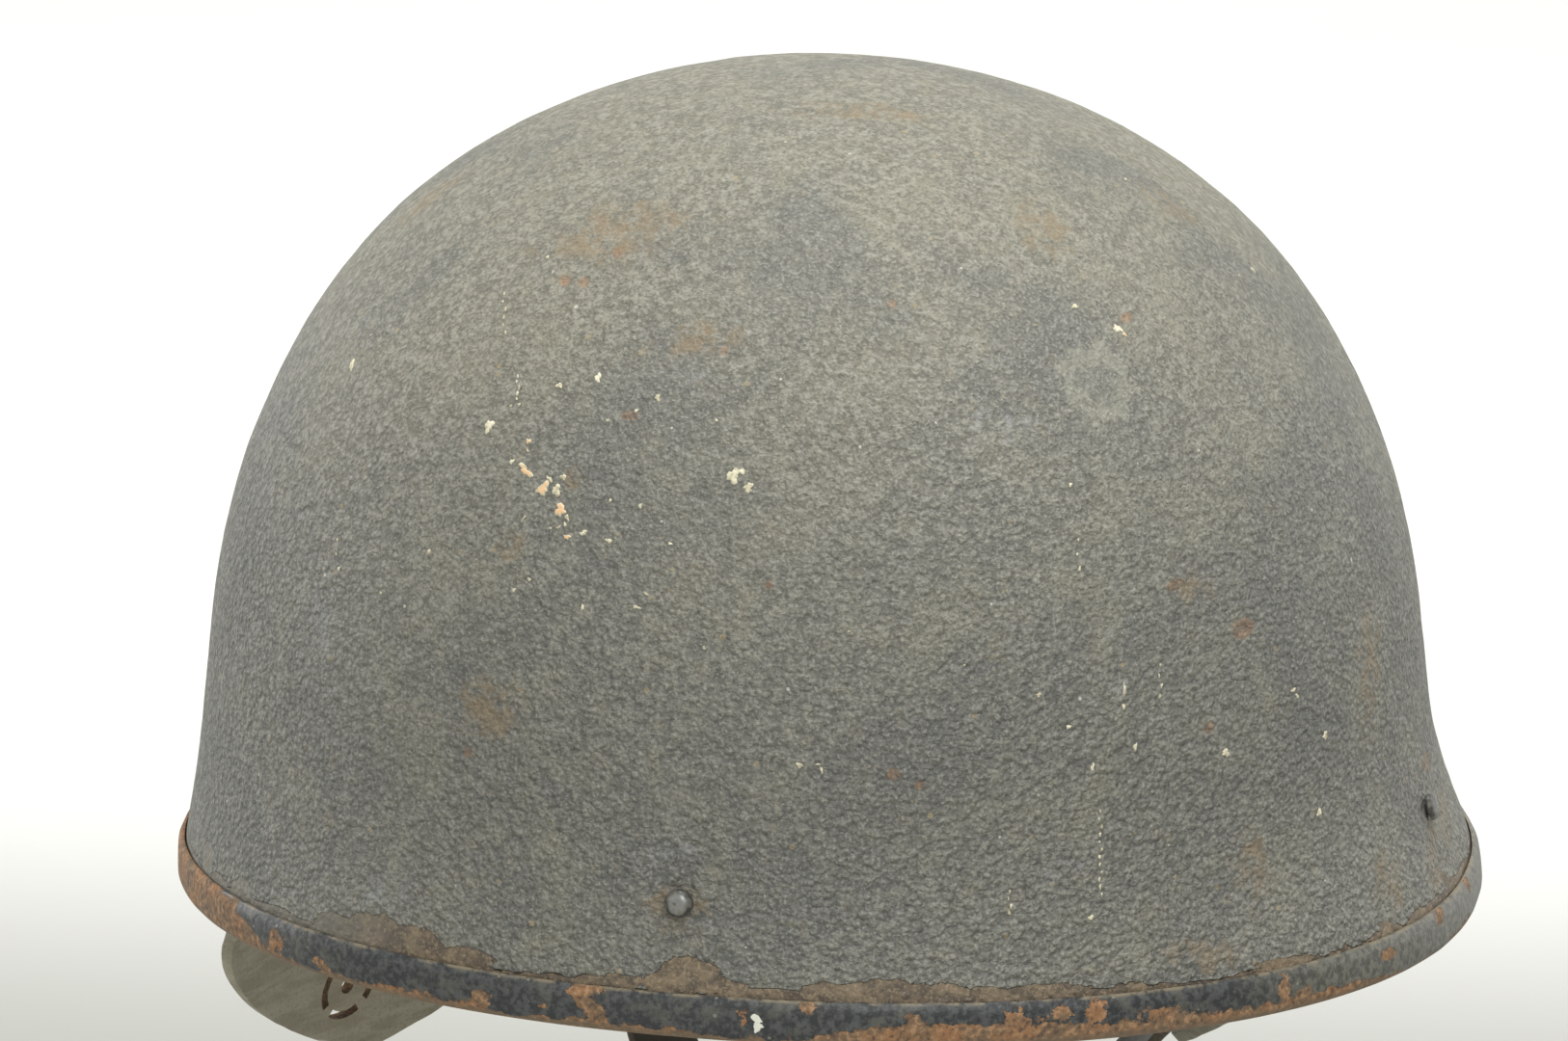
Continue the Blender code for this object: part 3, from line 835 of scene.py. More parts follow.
def makePebbleGroup():
    # Lumps of thick paint: broken noise with round grains on it, the grains higher where Coarse is high
    tree, given, out = newGroup(
        "pebbledPaint",
        [("Vector", "Vector", None), ("Coarse", "Float", 1.0)],
        [("Height", "Float"), ("Crest", "Float"), ("Grain", "Float")],
    )
    flat = vectorCalc(tree, "MULTIPLY", given["Vector"], groupFinish["lumpSquash"])
    broad = noiseAt(tree, flat, groupFinish["lumps"], 4.0, 0.62)
    cells = addNode(tree, "TexVoronoi", {"Vector": flat, "Scale": groupFinish["grains"]}).outputs["Distance"]
    fine = noiseAt(tree, given["Vector"], groupFinish["grit"], 2.0, 0.6)
    grains = calc(tree, "MULTIPLY", calc(tree, "SUBTRACT", 1.0, cells), given["Coarse"])
    swell = calc(tree, "MULTIPLY", broad, calc(tree, "MULTIPLY_ADD", given["Coarse"], 0.9, 0.5))
    height = calc(tree, "MULTIPLY_ADD", grains, 0.70, swell)
    tree.links.new(calc(tree, "MULTIPLY_ADD", fine, 0.34, height), out["Height"])
    # Crest is high where the relief is high; the coat lays its painted highlight there and its painted shade
    # in the hollows
    total = calc(tree, "MULTIPLY_ADD", broad, 1.4, calc(tree, "MULTIPLY", cells, -0.5))
    tree.links.new(ramp(tree, total, 0.25, 0.75), out["Crest"])
    tree.links.new(fine, out["Grain"])
    return tree


def makeSpeckGroup():
    # Small scattered specks: the middles of those cells whose random value passes the threshold
    tree, given, out = newGroup(
        "scatteredSpecks",
        [("Vector", "Vector", None), ("Scale", "Float", 250.0), ("Share", "Float", 0.3),
         ("Size", "Float", 0.15)],
        [("Mask", "Float")],
    )
    cells = addNode(tree, "TexVoronoi", {"Vector": given["Vector"], "Scale": given["Scale"]})
    chance = addNode(tree, "SeparateColor", {0: cells.outputs["Color"]}).outputs[0]
    chosen = calc(tree, "LESS_THAN", chance, given["Share"])
    size = calc(tree, "MULTIPLY", given["Size"], calc(tree, "DIVIDE", chance, given["Share"]))
    near = calc(tree, "LESS_THAN", cells.outputs["Distance"], size)
    tree.links.new(calc(tree, "MULTIPLY", chosen, near), out["Mask"])
    return tree


def makeRustGroup():
    # Rust: orange and brown patches with paler and darker grains
    tree, given, out = newGroup("rust", [("Vector", "Vector", None)], [("Color", "Color")])
    patches = noiseAt(tree, given["Vector"], groupFinish["rustPatches"], 4.0, 0.6)
    grains = noiseAt(tree, given["Vector"], groupFinish["rustGrains"], 3.0, 0.6)
    tone = blend(tree, ramp(tree, patches, 0.38, 0.58), groupFinish["rustOrange"], groupFinish["rustBrown"])
    tone = layTones(tree, tone, (groupFinish["rustPale"], grains, 0.50, 0.66, 1.0),
                    (groupFinish["rustDark"], grains, 0.48, 0.34, 1.0))
    tree.links.new(tone, out["Color"])
    return tree


groups = {
    "patch": makeSpotGroup(),
    "pebble": makePebbleGroup(),
    "speck": makeSpeckGroup(),
    "rust": makeRustGroup(),
}


def patchMask(tree, vector, scale, patches, ragged, soft):
    # The strongest of several ragged patches, their outlines shaken by a noise centred on zero
    values = {"Vector": vector, "Scale": scale, "Detail": 4.0, "Roughness": 0.6}
    colour = addNode(tree, "TexNoise", values).outputs["Color"]
    shake = vectorCalc(tree, "SUBTRACT", colour, (0.5, 0.5, 0.5))
    total = None
    for place, reach in patches:
        mask = placeGroup(tree, "patch", {
            "Vector": vector, "Shake": shake, "Centre": place, "Reach": reach,
            "Raggedness": ragged, "Softness": soft})["Mask"]
        total = mask if total is None else calc(tree, "MAXIMUM", total, mask)
    return total


def layEdge(tree, name, shake, ragged, low, high):
    # A stored field of marks, shaken by noise and cut by a soft threshold
    return ramp(tree, calc(tree, "MULTIPLY_ADD", shake, ragged, stored(tree, name)), low, high)


def laySpecks(tree, vector, base, rows):
    # Specks of several tones: scale, share of the cells that hold one, size and strength
    for tone, scale, share, size, strength in rows:
        specks = placeGroup(tree, "speck", {"Vector": vector, "Scale": scale, "Share": share, "Size": size})
        base = blend(tree, calc(tree, "MULTIPLY", specks["Mask"], strength), base, tone)
    return base


# Marks read off the photograph: across and down in its pixels, and half sizes in millimetres

shellMarks = {
    # thin crusts of cream undercoat: across, down, half width, half height, turn in degrees
    "cream": (
        (507, 442, 1.15, 1.4, 0), (547, 467, 0.22, 0.6, 10), (531, 479, 0.55, 0.5, 0),
        (584, 495, 0.75, 0.6, 30), (577, 509, 1.1, 1.2, 40), (570, 497, 0.9, 0.4, -50),
        (588, 537, 0.4, 0.8, 40), (586, 544, 0.28, 0.55, 0), (579, 547, 0.55, 0.3, 20),
        (571, 548, 0.25, 0.22, 0), (605, 553, 0.75, 0.6, 10), (631, 561, 0.95, 0.4, -28),
        (543, 538, 1.05, 0.18, 50), (760, 494, 1.55, 1.4, 0), (769, 489, 0.9, 0.6, 10),
        (776, 506, 1.15, 0.95, 20), (633, 519, 0.32, 0.32, 0), (664, 525, 0.4, 0.5, 30),
        (743, 436, 0.3, 0.3, 0), (660, 426, 0.45, 0.35, 0), (549, 601, 0.45, 0.35, 0),
        (533, 612, 0.4, 0.4, 0), (604, 630, 0.35, 0.7, 0), (660, 630, 0.8, 0.4, -20),
        (695, 564, 0.4, 0.35, 0), (670, 616, 0.6, 0.25, -30), (630, 436, 0.35, 0.25, 0),
        (530, 421, 0.3, 0.3, 0), (568, 267, 0.45, 0.35, 0), (365, 379, 0.75, 1.25, -20),
        (620, 392, 0.8, 0.95, 0), (580, 400, 0.8, 0.6, 20), (682, 413, 0.6, 0.8, 30),
        (1115, 318, 0.9, 0.5, 0), (1159, 341, 1.2, 0.9, -30), (1299, 280, 0.65, 0.5, 0),
        (1110, 503, 0.45, 0.45, 0), (829, 794, 0.8, 0.5, 0), (852, 799, 0.3, 0.8, 20),
        (848, 793, 0.55, 0.2, 0), (1108, 754, 0.5, 0.45, 0), (1166, 716, 0.3, 1.6, 0),
        (1165, 733, 0.35, 0.7, 0), (1177, 775, 0.4, 0.9, 0), (1133, 796, 0.4, 0.95, 0),
        (1131, 952, 0.7, 0.5, 0), (1271, 781, 1.1, 0.75, 0), (1341, 716, 0.9, 0.35, 20),
        (1345, 722, 0.6, 0.35, -30), (1374, 763, 0.85, 0.85, 40), (1368, 843, 0.9, 0.75, 0),
        (1077, 721, 0.55, 0.45, 0), (730, 672, 0.35, 0.4, 0), (445, 572, 0.45, 0.45, 0),
        (1167, 186, 0.4, 0.35, 0), (1000, 690, 0.25, 0.25, 0), (880, 655, 0.3, 0.25, 0),
        (395, 615, 0.3, 0.3, 0),
    ),
    # the same, with orange cores
    "orangeCored": (
        (548, 458, 0.5, 0.7, 0), (545, 488, 2.2, 0.8, -42), (563, 507, 1.5, 1.45, 20),
        (581, 529, 1.15, 1.5, 25), (588, 557, 0.8, 0.5, -15), (1166, 347, 0.6, 0.4, 0),
    ),
    # dotted drips: across, top, bottom, dots
    "drips": (
        (523, 305, 345, 6), (537, 390, 420, 6), (1141, 842, 928, 12), (1047, 925, 947, 4),
        (1203, 690, 722, 4), (350, 560, 590, 3), (1118, 560, 590, 3),
    ),
    # pits of rust and brown spots: across, down, half width, half height
    "pits": (
        (605, 293, 1.1, 0.9), (640, 262, 1, 0.8), (653, 431, 1.7, 0.8), (926, 803, 1.2, 1),
        (954, 814, 1, 0.9), (1253, 755, 0.8, 1.1), (797, 607, 0.7, 0.7), (751, 364, 0.8, 0.7),
        (926, 315, 0.7, 0.6), (1218, 607, 1.3, 1), (1168, 329, 1, 0.8), (485, 780, 1, 0.9),
        (586, 291, 1.1, 0.9), (1478, 790, 1.4, 1.6), (1289, 651, 1.9, 1.8),
    ),
    # wide brown stains
    "stains": (
        (1500, 858, 4, 8), (1440, 915, 7, 6), (1300, 900, 5, 7), (1420, 690, 6, 12), (1250, 990, 9, 4),
        (595, 495, 2.4, 3.4), (730, 353, 9, 4), (449, 203, 9, 5), (529, 567, 4, 2.6), (902, 116, 16, 5),
        (1081, 235, 6, 9), (640, 240, 16, 9), (1210, 210, 8, 6), (503, 735, 7, 6), (1235, 612, 6, 3),
        (703, 943, 7, 4.6), (1487, 880, 5, 12),
    ),
    # bluish scuffs
    "scuffs": (
        (713, 388, 4.5, 2.6), (683, 392, 3, 2), (1030, 442, 7, 4.5), (1040, 380, 4, 2.4),
        (1165, 720, 2.5, 5), (1165, 640, 5, 9), (700, 885, 5, 3), (400, 920, 7, 4), (330, 640, 6, 10),
        (1100, 900, 4, 3),
    ),
    # a pale ring at the upper right
    "ring": (
        (1137, 396, 8.2, 8.2),
    ),
    # coat flaked off along the binding
    "lost": (
        (345, 962, 6, 3.2), (385, 970, 8, 4.4), (430, 978, 6.5, 3.4), (480, 993, 7, 2),
        (715, 1012, 6.4, 3.6), (690, 1019, 5, 2), (745, 1024, 6, 1.4), (640, 1018, 5, 1.6),
        (860, 1033, 7, 2.4), (915, 1032, 9, 3), (970, 1034, 8, 2.6), (1020, 1033, 5, 1.8),
        (1085, 1029, 10, 1.6), (215, 893, 4.5, 4), (250, 925, 5, 3), (1500, 915, 4, 1.8),
        (1440, 962, 5, 1.3), (1330, 1001, 7, 1.3),
    ),
}


# Crusts of cream undercoat

flakeForm = {
    "sides": 24,
    "rise": 0.00019,
    "sunk": 0.00030,
    "dripHalfWidth": 0.28,
    "dripHalfHeight": 0.55,
    "rings": ((0.5, 1.0), (0.86, 0.75), (1.0, -0.5)),             # share of the reach, share of the rise
    "edgeMean": 0.82,
    "lobes": ((2, 0.16), (3, 0.18), (5, 0.13), (8, 0.10)),        # waves round the edge, size
    "creamTones": ((0.42, 0.38, 0.26), (0.68, 0.64, 0.48)),
    "coreTone": (0.72, 0.47, 0.26),
    "toneFall": 0.6,         # how much the orange fades from the middle to the edge
    "relief": 0.0003,
}


def flakeRows():
    # The listed crusts, then the dots of each drip, their sizes and places shifted by sines
    rows = [(*row, 0.0) for row in shellMarks["cream"]]
    rows += [(*row, 1.0) for row in shellMarks["orangeCored"]]
    for across, top, bottom, dots in shellMarks["drips"]:
        for step, down in enumerate(np.linspace(top, bottom, dots)):
            size = 0.45 + 0.55 * abs(math.sin(2.3 * step + 0.4))
            wide, tall = flakeForm["dripHalfWidth"] * size, flakeForm["dripHalfHeight"] * size
            rows.append((across + 1.5 * math.sin(4.1 * step), down, wide, tall, 0, 0.0))
    return rows


def flakeFaces():
    # One crust: a fan on its top point, two bands of quads and a fan on the point below
    side = np.arange(flakeForm["sides"])
    after = np.roll(side, -1)
    starts = 1 + flakeForm["sides"] * np.arange(len(flakeForm["rings"]))
    last = starts[-1] + flakeForm["sides"]
    blocks = [(0 * side, starts[0] + side, starts[0] + after),
              (last + 0 * side, starts[-1] + after, starts[-1] + side)]
    for low, high in zip(starts, starts[1:]):
        blocks.append((low + side, high + side, high + after, low + after))
    return [face for block in blocks for face in np.stack(block, axis=1).tolist()]


def makeFlakes(shell, material):
    # Each crust: rings of an oval with a wavy edge, laid on the shell, raised by their lift and closed below
    sides = flakeForm["sides"]
    spin = np.linspace(0, 2 * np.pi, sides, endpoint=False)
    shares, lifts = np.array(flakeForm["rings"]).T
    share = np.concatenate([[0], np.repeat(shares, sides), [0]])
    lift = np.concatenate([[1], np.repeat(lifts, sides), [-flakeForm["sunk"] / flakeForm["rise"]]])
    turns = np.concatenate([[0], np.tile(spin, len(shares)), [0]])
    pattern = flakeFaces()
    vertices, faces, tones = [], [], []
    for count, (across, down, wide, tall, turn, orange) in enumerate(flakeRows()):
        place, level, rise = [np.array(item) for item in markFrame(shell, across, down)[:3]]
        waves = [size * np.sin(wave * turns + 7.0 * math.sin(3.7 * count + wave))
                 for wave, size in flakeForm["lobes"]]
        ragged = flakeForm["edgeMean"] + sum(waves)
        x = share * ragged * wide / 1000 * np.cos(turns)
        y = share * ragged * tall / 1000 * np.sin(turns)
        cosine, sine = math.cos(math.radians(turn)), math.sin(math.radians(turn))
        points = place + np.outer(x * cosine - y * sine, level) + np.outer(x * sine + y * cosine, rise)
        hits = [shell.closest_point_on_mesh(Vector(point)) for point in points]
        spots, facing = [np.array([hit[item] for hit in hits]) for item in (1, 2)]
        faces += [[len(vertices) + corner for corner in face] for face in pattern]
        vertices += (spots + facing * (lift * flakeForm["rise"])[:, None]).tolist()
        tones += (orange - flakeForm["toneFall"] * share).tolist()
    mesh = bpy.data.meshes.new("cream_flakes")
    mesh.from_pydata(vertices, [], faces)
    fixWinding(mesh)
    storeValues(mesh, "flakeTone", tones)
    return addPiece("cream_flakes", mesh, material, sharp=60)


def creamUndercoat():
    # Cream crusts with orange cores
    material, tree, vector = newMaterial("cream_undercoat")
    broken = noiseAt(tree, vector, 900.0, 3.0, 0.6)
    core = ramp(tree, calc(tree, "MULTIPLY_ADD", broken, 0.9, stored(tree, "flakeTone")), 0.95, 1.15)
    cream = blend(tree, ramp(tree, broken, 0.36, 0.60), *flakeForm["creamTones"])
    tone = blend(tree, core, cream, flakeForm["coreTone"])
    return finishMaterial(material, {"Base Color": tone, "Roughness": 0.8}, broken, flakeForm["relief"])


# Coat of the shell

coatFinish = {
    # tones for the relief's hollows and lumps: painted shade in the hollows, painted highlight on the lumps
    "hollowShade": (0.128, 0.128, 0.113),
    "lumpHighlight": (0.205, 0.203, 0.172),
    "crownHollowShade": (0.150, 0.143, 0.108),
    "crownLumpHighlight": (0.248, 0.240, 0.187),
    "dust": (0.225, 0.215, 0.158),
    "slate": (0.108, 0.111, 0.104),
    "speckle": (0.245, 0.212, 0.142),
    # dirt where laid on the mottle, painted shade where laid between the grit's grains
    "grimeAndShade": (0.068, 0.068, 0.062),
    # painted glint on the grit's high grains
    "paintedGlint": (0.340, 0.335, 0.285),
    "ring": (0.36, 0.355, 0.275),
    "bareSteel": ((0.085, 0.066, 0.048), (0.185, 0.140, 0.090)),
    "bareGrains": (0.33, 0.26, 0.16),
    "bareGrey": (0.158, 0.154, 0.128),
    # tone, scale, share of the cells, size, strength
    "specks": (((0.33, 0.26, 0.14), 300.0, 0.20, 0.17, 0.55), ((0.50, 0.49, 0.42), 330.0, 0.10, 0.14, 0.80)),
    # marks, tone, raggedness, threshold from and to, mottle from and to, strength
    "marks": (("stains", (0.215, 0.158, 0.090), 2.4, -0.1, 0.6, 0.36, 0.60, 0.62),
              ("scuffs", (0.27, 0.28, 0.285), 2.6, 0.0, 0.5, 0.48, 0.62, 0.45)),
    "bareLine": 0.0020,      # how far the broken line of bare steel reaches above the binding
    "relief": 0.00085,
}


def pebbledShellPaint(shell):
    for name in ("stains", "scuffs", "ring", "lost"):
        storeValues(shell.data, name, markField(shell, shellMarks[name]))
    material, tree, vector = newMaterial("pebbled_shell_paint")
    parts = split(tree, vector)
    height = parts["Z"]
    slow = noiseAt(tree, vector, 14.0, 3.0, 0.55, 0.3)
    patchy = noiseAt(tree, vector, 60.0, 4.0, 0.62, 0.5)
    clouds = noiseAt(tree, vector, 26.0, 4.0, 0.65, 0.6)
    mottle = noiseAt(tree, vector, 260.0, 4.0, 0.7)
    jag = calc(tree, "SUBTRACT", noiseAt(tree, vector, 330.0, 4.0, 0.7), 0.5)
    coarse = ramp(tree, calc(tree, "MULTIPLY_ADD", slow, 0.08, height), 0.165, 0.080, 0.30, 1.15)
    pebble = placeGroup(tree, "pebble", {"Vector": vector, "Coarse": coarse})
    crest, grain = pebble["Crest"], pebble["Grain"]

    # Grey-olive coat with painted highlight on its lumps and painted shade in its hollows, browner on the
    # crown and bluer low down
    coat = blend(tree, crest, coatFinish["hollowShade"], coatFinish["lumpHighlight"])
    brown = blend(tree, crest, coatFinish["crownHollowShade"], coatFinish["crownLumpHighlight"])
    warm = calc(tree, "MULTIPLY_ADD", slow, 0.12, height)
    coat = layTones(
        tree, coat,
        (brown, warm, 0.13, 0.21, 1.0),
        (coatFinish["dust"], patchy, 0.48, 0.68, 0.45),
        (coatFinish["slate"], clouds, 0.52, 0.36, 0.55),
        (coatFinish["speckle"], mottle, 0.55, 0.72, 0.40),
        (coatFinish["grimeAndShade"], mottle, 0.42, 0.28, 0.45),
        # painted glint on the high grains of the grit and painted shade between them
        (coatFinish["paintedGlint"], grain, 0.53, 0.66, 0.46),
        (coatFinish["grimeAndShade"], grain, 0.47, 0.33, 0.52),
    )
    coat = laySpecks(tree, vector, coat, coatFinish["specks"])

    # Stains, scuffs, the pale ring and pits of rust
    for name, tone, ragged, low, high, mottleLow, mottleHigh, strength in coatFinish["marks"]:
        mask = calc(tree, "MULTIPLY", layEdge(tree, name, jag, ragged, low, high),
                    ramp(tree, mottle, mottleLow, mottleHigh))
        coat = blend(tree, calc(tree, "MULTIPLY", mask, strength), coat, tone)
    ring = calc(tree, "SUBTRACT", layEdge(tree, "ring", jag, 1.6, 0.0, 0.22),
                calc(tree, "MULTIPLY", layEdge(tree, "ring", jag, 1.6, 0.34, 0.62), 0.75), clamp=True)
    coat = blend(tree, calc(tree, "MULTIPLY", ring, 0.34), coat, coatFinish["ring"])
    pits = [(pointOn(shell, across, down)[0], (wide / 1000, 0.004, tall / 1000))
            for across, down, wide, tall in shellMarks["pits"]]
    rust = placeGroup(tree, "rust", {"Vector": vector})["Color"]
    pitted = patchMask(tree, vector, 420.0, pits, 0.8, 0.25)
    coat = blend(tree, calc(tree, "MULTIPLY", pitted, 0.55), coat, rust)

    # Coat lost down to brown steel, and a broken line of it on top of the binding
    reach = ramp(tree, patchy, 0.34, 0.68)
    seam = calc(tree, "MULTIPLY_ADD", reach, coatFinish["bareLine"], bandForm["height"])
    line = ramp(tree, calc(tree, "SUBTRACT", height, seam), 0.0001, -0.0001)
    lost = calc(tree, "MAXIMUM", layEdge(tree, "lost", jag, 0.9, 0.06, 0.12), line)
    bare = blend(tree, ramp(tree, mottle, 0.40, 0.62), *coatFinish["bareSteel"])
    bare = layTones(tree, bare, (coatFinish["bareGrains"], grain, 0.54, 0.64, 0.45),
                    (coatFinish["bareGrey"], parts["X"], 0.045, 0.075, 0.75))
    coat = blend(tree, lost, coat, bare)

    relief = calc(tree, "MULTIPLY", pebble["Height"], ramp(tree, lost, 0.0, 1.0, 1.0, 0.25))
    relief = calc(tree, "MULTIPLY_ADD", lost, -0.35, relief)
    looks = {"Base Color": coat, "Roughness": ramp(tree, crest, 0.0, 1.0, 0.68, 0.50)}
    return finishMaterial(material, looks, relief, coatFinish["relief"])


# Edge binding's marks: across and down in the photograph's pixels, and half sizes in millimetres

bandMarks = {
    "bareRust": (
        (194, 890, 5, 5), (214, 922, 3.4, 5), (243, 950, 1.8, 6), (285, 975, 3.4, 2), (330, 1000, 3, 1.4),
        (500, 1036, 2.2, 1.7), (604, 1026, 4, 1.6), (606, 1040, 1.4, 3), (622, 1054, 2.4, 2),
        (838, 1046, 1.5, 1.4), (770, 1054, 1.2, 2), (949, 1066, 2.2, 2.4), (985, 1068, 4, 1.8),
        (1060, 1062, 4.5, 3), (1105, 1050, 2.2, 2.2), (1140, 1052, 3, 2.4), (1200, 1056, 4, 2.6),
        (1332, 1028, 1.8, 3.6), (1350, 1035, 3, 1.6), (1492, 945, 2.2, 2.2), (1440, 990, 3, 1.2),
        (1520, 915, 2.4, 2.4), (560, 1042, 1.2, 0.9),
    ),
    "chalk": (
        (787, 1066, 1.1, 1.5), (783, 1056, 0.6, 0.8),
    ),
}

bandFinish = {
    "paint": ((0.020, 0.022, 0.024), (0.066, 0.070, 0.070)),
    "worn": (0.105, 0.102, 0.084),
    "olive": ((0.070, 0.070, 0.058), (0.150, 0.146, 0.115)),     # on the wearer's right
    "specks": (((0.30, 0.29, 0.24), 520.0, 0.25, 0.20, 0.45),),
    # dust and a painted highlight along the top edge
    "topEdgeDustAndHighlight": (0.19, 0.16, 0.11),
    "dustyRust": (0.175, 0.130, 0.085),
    "chalk": (0.72, 0.71, 0.62),
    "leftRust": 0.0080,      # how much further the rust creeps up at the left, and over the right flap
    "rightRust": 0.0020,
    "relief": 0.00028,
}


def chippedBindingPaint(band):
    for name, marks in bandMarks.items():
        storeValues(band.data, name, markField(band, marks))
    material, tree, vector = newMaterial("chipped_binding_paint")
    parts = split(tree, vector)
    across, height = parts["X"], parts["Z"]
    slow = noiseAt(tree, vector, 24.0, 3.0, 0.5)
    jag = noiseAt(tree, vector, 230.0, 5.0, 0.68)
    fine = noiseAt(tree, vector, 800.0, 3.0, 0.6)
    shake = calc(tree, "SUBTRACT", jag, 0.5)

    # Rust creeps up from the rolled lower edge, further where the slow noise is high
    reach = calc(tree, "MULTIPLY_ADD", slow, 0.0070, calc(tree, "MULTIPLY_ADD", jag, 0.0060, -0.0048))
    reach = calc(tree, "MULTIPLY_ADD", ramp(tree, across, 0.078, 0.102), bandFinish["leftRust"], reach)
    overFlap = calc(tree, "MULTIPLY", ramp(tree, across, -0.020, -0.045),
                    ramp(tree, across, -0.105, -0.080))
    reach = calc(tree, "MULTIPLY_ADD", overFlap, bandFinish["rightRust"], reach)
    edge = ramp(tree, calc(tree, "SUBTRACT", height, reach), 0.0003, -0.0001)
    bare = calc(tree, "MAXIMUM", edge, layEdge(tree, "bareRust", shake, 3.6, 0.10, 0.20))
    bare = calc(tree, "MAXIMUM", bare, ramp(tree, jag, 0.70, 0.73))

    paint = blend(tree, ramp(tree, fine, 0.40, 0.64), *bandFinish["paint"])
    olive = blend(tree, ramp(tree, fine, 0.38, 0.62), *bandFinish["olive"])
    paint = layTones(tree, paint, (bandFinish["worn"], jag, 0.50, 0.64, 0.6),
                     (olive, across, -0.090, -0.110, 0.8))
    paint = laySpecks(tree, vector, paint, bandFinish["specks"])
    # tan line on the top edge: dust, and a painted highlight
    topEdgeDustAndHighlight = ramp(tree, jag, 0.42, 0.58)
    paint = layTones(tree, paint, (bandFinish["topEdgeDustAndHighlight"], height, 0.0078, 0.0083, topEdgeDustAndHighlight))
    rust = placeGroup(tree, "rust", {"Vector": vector})["Color"]
    rust = layTones(tree, rust, (bandFinish["dustyRust"], height, 0.0022, 0.0010, 0.65))
    tone = blend(tree, bare, paint, rust)
    tone = blend(tree, layEdge(tree, "chalk", shake, 2.0, 0.05, 0.12), tone, bandFinish["chalk"])
    level = calc(tree, "MULTIPLY_ADD", jag, 1.2, calc(tree, "MULTIPLY", fine, 0.5))
    level = calc(tree, "MULTIPLY_ADD", bare, -0.5, level)
    looks = {"Base Color": tone, "Roughness": ramp(tree, bare, 0.0, 1.0, 0.48, 0.85)}
    return finishMaterial(material, looks, level, bandFinish["relief"])


# Finishes of the rivets and the leather

rivetFinish = {
    "steel": ((0.22, 0.222, 0.21), (0.185, 0.155, 0.11)),
    "scratched": (0.12, 0.11, 0.09),
    "paint": ((0.030, 0.030, 0.028), (0.115, 0.110, 0.092)),
    "roughness": (0.42, 0.36),
    "metallic": 0.65,
    "relief": (0.0001, 0.7),         # depth and strength
}


def wornRivetSteel():
    # Paint worn down to steel on the head's face
    material, tree, vector = newMaterial("worn_rivet_steel")
    scratch = noiseAt(tree, vector, 900.0, 4.0, 0.6)
    broad = noiseAt(tree, vector, 260.0, 2.0, 0.5)
    worn = ramp(tree, calc(tree, "MULTIPLY_ADD", broad, 0.5, stored(tree, "headShare")), 0.98, 1.10)
    bare = blend(tree, ramp(tree, broad, 0.44, 0.58), *rivetFinish["steel"])
    bare = blend(tree, ramp(tree, scratch, 0.56, 0.70), bare, rivetFinish["scratched"])
    paint = blend(tree, ramp(tree, scratch, 0.40, 0.62), *rivetFinish["paint"])
    looks = {
        "Base Color": blend(tree, worn, paint, bare),
        "Roughness": ramp(tree, worn, 0.0, 1.0, *rivetFinish["roughness"]),
        "Metallic": ramp(tree, worn, 0.0, 1.0, 0.0, rivetFinish["metallic"]),
    }
    return finishMaterial(material, looks, scratch, *rivetFinish["relief"])


leatherFinish = {
    "grain": 1400.0,
    "wrinkleShadeStretch": (1.0, 1.0, 4.5),
    # darker and lighter leather, laid as painted shade and highlight along the creases
    "flap": ((0.255, 0.232, 0.172), (0.340, 0.314, 0.245)),
    "dryPatch": (0.340, 0.318, 0.255),
    "pore": (0.125, 0.105, 0.075),
    "holeStain": (0.31, 0.262, 0.178),
    "holeReach": (0.0105, 0.0105, 0.0105),
    "rawCut": ((0.060, 0.036, 0.018), (0.20, 0.115, 0.055)),
    "strap": ((0.014, 0.011, 0.007), (0.034, 0.026, 0.016)),
    "strapCrease": (0.075, 0.055, 0.034),
    "strapEdge": (0.085, 0.058, 0.034),
    # depth and strength
    "flapRelief": (0.00022, 0.8),
    "cutRelief": (0.0002, 0.8),
    "strapRelief": (0.0002, 0.8),
}


def greyFlapLeather(name, holes):
    # Dull grey-brown leather with level bands of painted shade and highlight that follow its creases, paler
    # round its holes
    material, tree, vector = newMaterial(name)
    stretched = vectorCalc(tree, "MULTIPLY", vector, leatherFinish["wrinkleShadeStretch"])
    grain = noiseAt(tree, vector, leatherFinish["grain"], 4.0, 0.6)
    wrinkleShade = noiseAt(tree, stretched, 70.0, 4.0, 0.55, 0.6)
    patchy = noiseAt(tree, vector, 48.0, 3.0, 0.5)
    # painted shade in the creases and painted highlight on their ridges
    tone = blend(tree, ramp(tree, wrinkleShade, 0.36, 0.64), *leatherFinish["flap"])
    tone = layTones(tree, tone, (leatherFinish["dryPatch"], patchy, 0.52, 0.68, 0.5),
                    (leatherFinish["pore"], grain, 0.52, 0.34, 0.35))
    stain = patchMask(tree, vector, 500.0, [(holes, leatherFinish["holeReach"])], 0.25, 0.35)
    tone = blend(tree, calc(tree, "MULTIPLY", stain, 0.30), tone, leatherFinish["holeStain"])
    creases = calc(tree, "MULTIPLY_ADD", wrinkleShade, 1.6, calc(tree, "MULTIPLY", grain, 0.35))
    looks = {"Base Color": tone, "Roughness": 0.68, "Specular IOR Level": 0.4}
    return finishMaterial(material, looks, creases, *leatherFinish["flapRelief"])


def cutFlapLeather():
    # The brown raw leather inside the punched holes
    material, tree, vector = newMaterial("cut_flap_leather")
    fibre = noiseAt(tree, vector, 1100.0, 4.0, 0.65)
    tone = blend(tree, ramp(tree, fibre, 0.35, 0.65), *leatherFinish["rawCut"])
    looks = {"Base Color": tone, "Roughness": 0.85}
    return finishMaterial(material, looks, fibre, *leatherFinish["cutRelief"])


